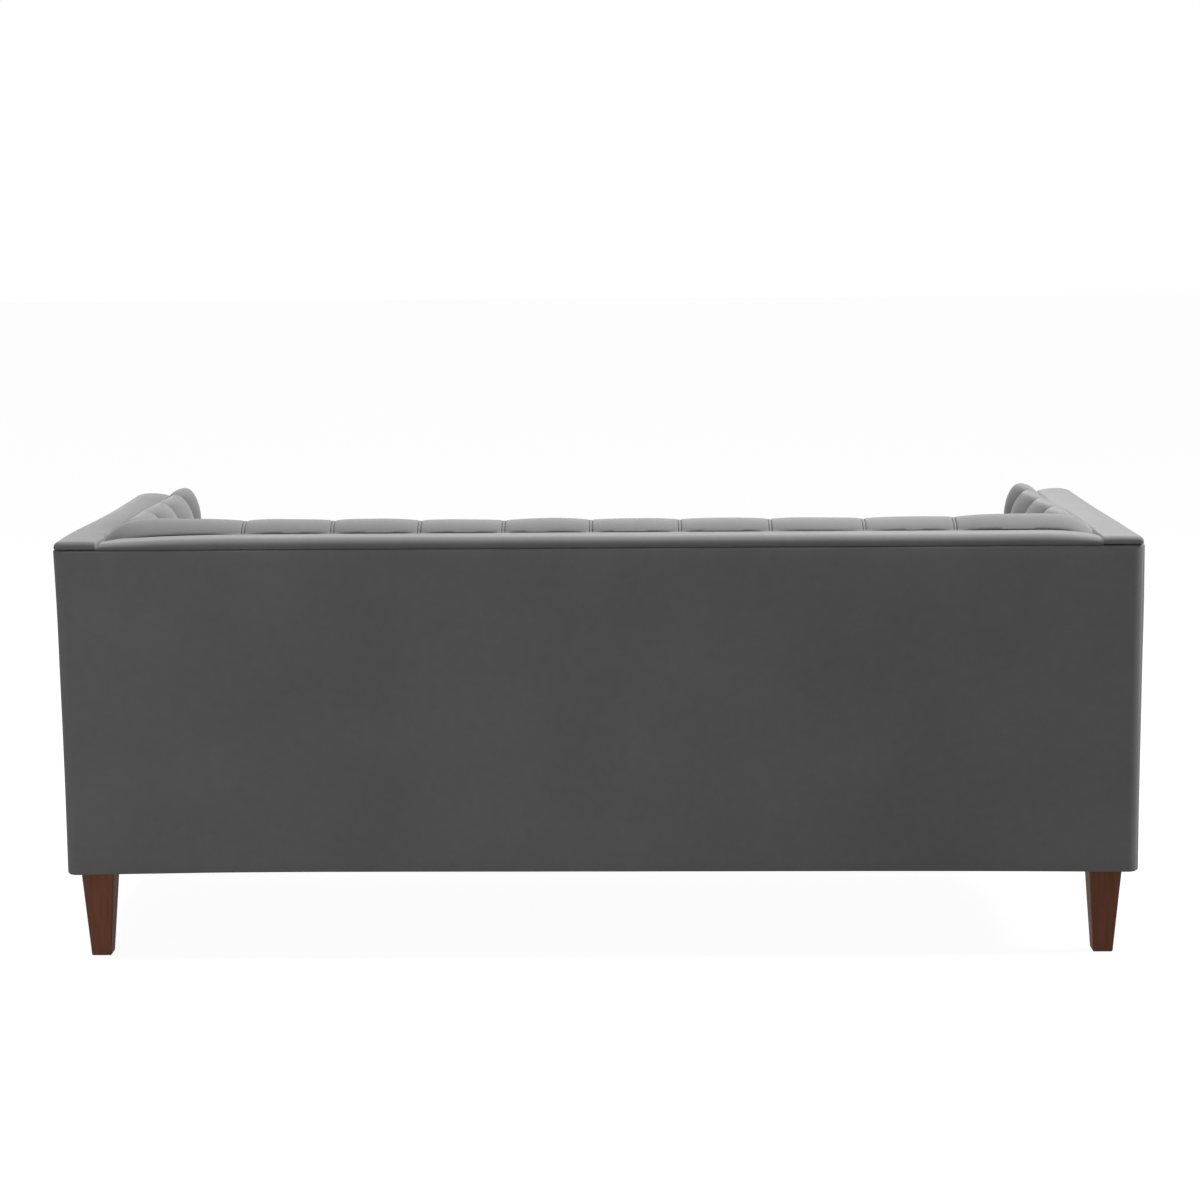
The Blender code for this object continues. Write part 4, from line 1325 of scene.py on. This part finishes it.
def cushion_shape():
    obj = cushion_start()
    start = places_of(obj.data)
    moves = evened(blown_up(obj), obj.data)
    faces = [tuple(polygon.vertices) for polygon in obj.data.polygons]
    bpy.data.objects.remove(obj, do_unlink=True)
    low, high = (start + moves).min(axis=0), (start + moves).max(axis=0)
    box_low, box_high = np.array(CUSHION_LOW), np.array(CUSHION_HIGH)
    nearest = KDTree(len(start))
    for number, place in enumerate(start):
        nearest.insert(place, number)
    nearest.balance()

    def fitted(places):
        return box_low + share_of(places, low, high) * (box_high - box_low)

    def welt(height, lift):
        path = []
        line = cushion_outline(height)
        for first, last in zip(line, line[1:] + line[:1]):
            count = max(1, round((last - first).length / CUSHION_WELT_STEP))
            for i in range(count):
                spot = first.lerp(last, i / count)
                place = fitted(np.array(spot) + moves[nearest.find(spot)[1]])
                path.append(Vector(place) + Vector((0.0, 0.0, lift)))
        return tube(path, WELT_RADIUS)

    foot, head = cushion_corners()
    welts = joined([welt(head.z, 0.0), welt(foot.z, WELT_RADIUS)])
    return (fitted(start + moves), faces), welts


def make_cushions(materials):
    shape, welts = cushion_shape()
    for side, sign in SIDES:
        body, node = f"{side}_seat_cushion", f"seat_cushion_{side}"
        cushion = mirrored(shape, sign)
        cover = add_cover(f"seat_cushion_cover_{side}", cushion, materials, node, body=body)
        finer = cover.modifiers.new("finer", "SUBSURF")
        finer.levels = 1
        finer.render_levels = 1
        add_piece(f"seat_cushion_welt_{side}", mirrored(welts, sign), materials["velvet"], body=body)


# Under the cushions and under the sofa

def make_deck(materials):
    columns = spread(DECK_LOW.x, DECK_HIGH.x, UNDER_STEP)
    rows = spread(DECK_LOW.y, DECK_HIGH.y, UNDER_STEP)

    def top(x, y):
        crown = pillow(share_of(x, DECK_LOW.x, DECK_HIGH.x), share_of(y, DECK_LOW.y, DECK_HIGH.y))
        return x, y, DECK_HIGH.z - DECK_CROWN * (1 - crown)

    shape = plate(columns, rows, top, lambda x, y: (x, y, DECK_LOW.z))
    add_piece("seat_deck_pad", shape, materials["cambric"], replaced="seat_deck")


def make_dust_cover(materials):
    columns = spread(COVER_LOW.x, COVER_HIGH.x, UNDER_STEP)
    rows = spread(COVER_LOW.y, COVER_HIGH.y, UNDER_STEP)

    def under(x, y):
        across = math.sin(math.pi * share_of(x, COVER_LOW.x, COVER_HIGH.x))
        along = math.sin(math.pi * share_of(y, COVER_LOW.y, COVER_HIGH.y))
        return x, y, COVER_LOW.z - COVER_SAG * (across * along) ** 2

    def upper(x, y):
        _, _, height = under(x, y)
        return x, y, height + COVER_CLOTH

    shape = plate(columns, rows, under, upper)
    piece = add_piece("dust_cloth", shape, materials["cambric"], replaced="dust_cover")


# Camera, light and stage

def make_camera():
    camera = bpy.data.cameras.new("camera")
    camera.sensor_width = SENSOR_WIDTH
    camera.lens = FOCAL_PIXELS / IMAGE_PIXELS * SENSOR_WIDTH
    turns = ((math.pi - CAMERA_YAW, "Z"), (math.pi / 2 - CAMERA_PITCH, "X"), (-CAMERA_ROLL, "Z"))
    obj = bpy.data.objects.new("camera", camera)
    obj.matrix_world = Matrix.Translation(CAMERA_PLACE)
    for angle, axis in turns:
        obj.matrix_world = obj.matrix_world @ Matrix.Rotation(angle, 4, axis)
    bpy.context.scene.collection.objects.link(obj)
    bpy.context.scene.camera = obj


def make_lamp(name, place, target, size, power):
    lamp = bpy.data.lights.new(name, "AREA")
    lamp.shape = "RECTANGLE"
    lamp.size, lamp.size_y = size
    lamp.energy = power
    obj = bpy.data.objects.new(name, lamp)
    obj.location = place
    obj.rotation_euler = (Vector(target) - Vector(place)).to_track_quat("-Z", "Y").to_euler()
    obj.visible_camera = False
    bpy.context.scene.collection.objects.link(obj)


def seen_rays(tree):
    """1 for rays that show the background as it is: from the camera, reflected or through glass."""
    path = tree.nodes.new("ShaderNodeLightPath")
    seen = combine(tree, "MAXIMUM", path.outputs["Is Camera Ray"], path.outputs["Is Glossy Ray"])
    return combine(tree, "MAXIMUM", seen, path.outputs["Is Transmission Ray"])


def make_world(ambient):
    world = bpy.data.worlds.new("studio")
    world.use_nodes = True
    tree = world.node_tree
    background = tree.nodes["Background"]
    background.inputs["Color"].default_value = (1.0, 1.0, 1.0, 1.0)
    strength = ranged(tree, seen_rays(tree), ambient, 1.0, 0.0, 1.0)
    tree.links.new(strength, background.inputs["Strength"])
    bpy.context.scene.world = world


def diffuse(tree, albedo):
    node = tree.nodes.new("ShaderNodeBsdfDiffuse")
    node.inputs["Color"].default_value = (albedo, albedo, albedo, 1.0)
    return node.outputs[0]


def make_floor(glow, shown_albedo, bounce_albedo):
    """A white floor that keeps a faint shadow, and gives back less light than it shows."""
    material = bpy.data.materials.new("white_floor")
    material.use_nodes = True
    tree = material.node_tree
    tree.nodes.remove(tree.nodes["Principled BSDF"])
    output = tree.nodes["Material Output"]
    white = tree.nodes.new("ShaderNodeEmission")
    white.inputs["Strength"].default_value = glow
    both = tree.nodes.new("ShaderNodeAddShader")
    tree.links.new(white.outputs[0], both.inputs[0])
    tree.links.new(diffuse(tree, shown_albedo), both.inputs[1])
    choice = tree.nodes.new("ShaderNodeMixShader")
    tree.links.new(seen_rays(tree), choice.inputs[0])
    tree.links.new(diffuse(tree, bounce_albedo), choice.inputs[1])
    tree.links.new(both.outputs[0], choice.inputs[2])
    tree.links.new(choice.outputs[0], output.inputs["Surface"])
    mesh = bpy.data.meshes.new("floor")
    corners = [(x * FLOOR_REACH, y * FLOOR_REACH, 0.0) for x, y in ((-1, -1), (1, -1), (1, 1), (-1, 1))]
    mesh.from_pydata(corners, [], [(0, 1, 2, 3)])
    mesh.materials.append(material)
    floor = bpy.data.objects.new("floor", mesh)
    bpy.context.scene.collection.objects.link(floor)
    floor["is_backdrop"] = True


def make_studio():
    bpy.context.scene.view_settings.view_transform = "Standard"
    make_camera()
    make_world(ambient=0.20)
    make_floor(glow=0.95, shown_albedo=0.16, bounce_albedo=0.12)
    make_lamp("overhead_lamp", (0.0, -0.1, 3.4), (0.0, 0.0, 0.7), size=(3.0, 1.6), power=148.0)
    make_lamp("side_lamp", (-3.2, 0.1, 2.3), (-0.9, 0.1, 0.7), size=(1.4, 1.4), power=126.0)
    make_lamp("rear_fill_lamp", (2.7, 4.1, 0.55), (0.2, 0.4, 0.5), size=(2.4, 0.8), power=58.0)
    make_lamp("front_fill_lamp", (0.6, -4.2, 2.4), (0.0, 0.0, 0.5), size=(3.0, 2.0), power=45.0)


def main():
    materials = make_materials()
    finish_kept_nodes(materials)
    make_outside_back(materials)
    add_pair("outside_arm", outside_arm_shape, materials, "outside_arm_panel")
    add_pair("arm_front", arm_front_shape, materials, "arm_front_panel")
    make_front_rail(materials)
    add_pair("arm_strip", strip_shape, materials, "arm_top_pad")
    make_back_band(materials)
    make_inside_back(materials)
    make_inside_arms(materials)
    make_cushions(materials)
    make_deck(materials)
    make_dust_cover(materials)
    make_studio()
    boxes = {"cad": CAD_BOX, "visual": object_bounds()}
    {name: [list(corner) for corner in box] for name, box in boxes.items()}


main()
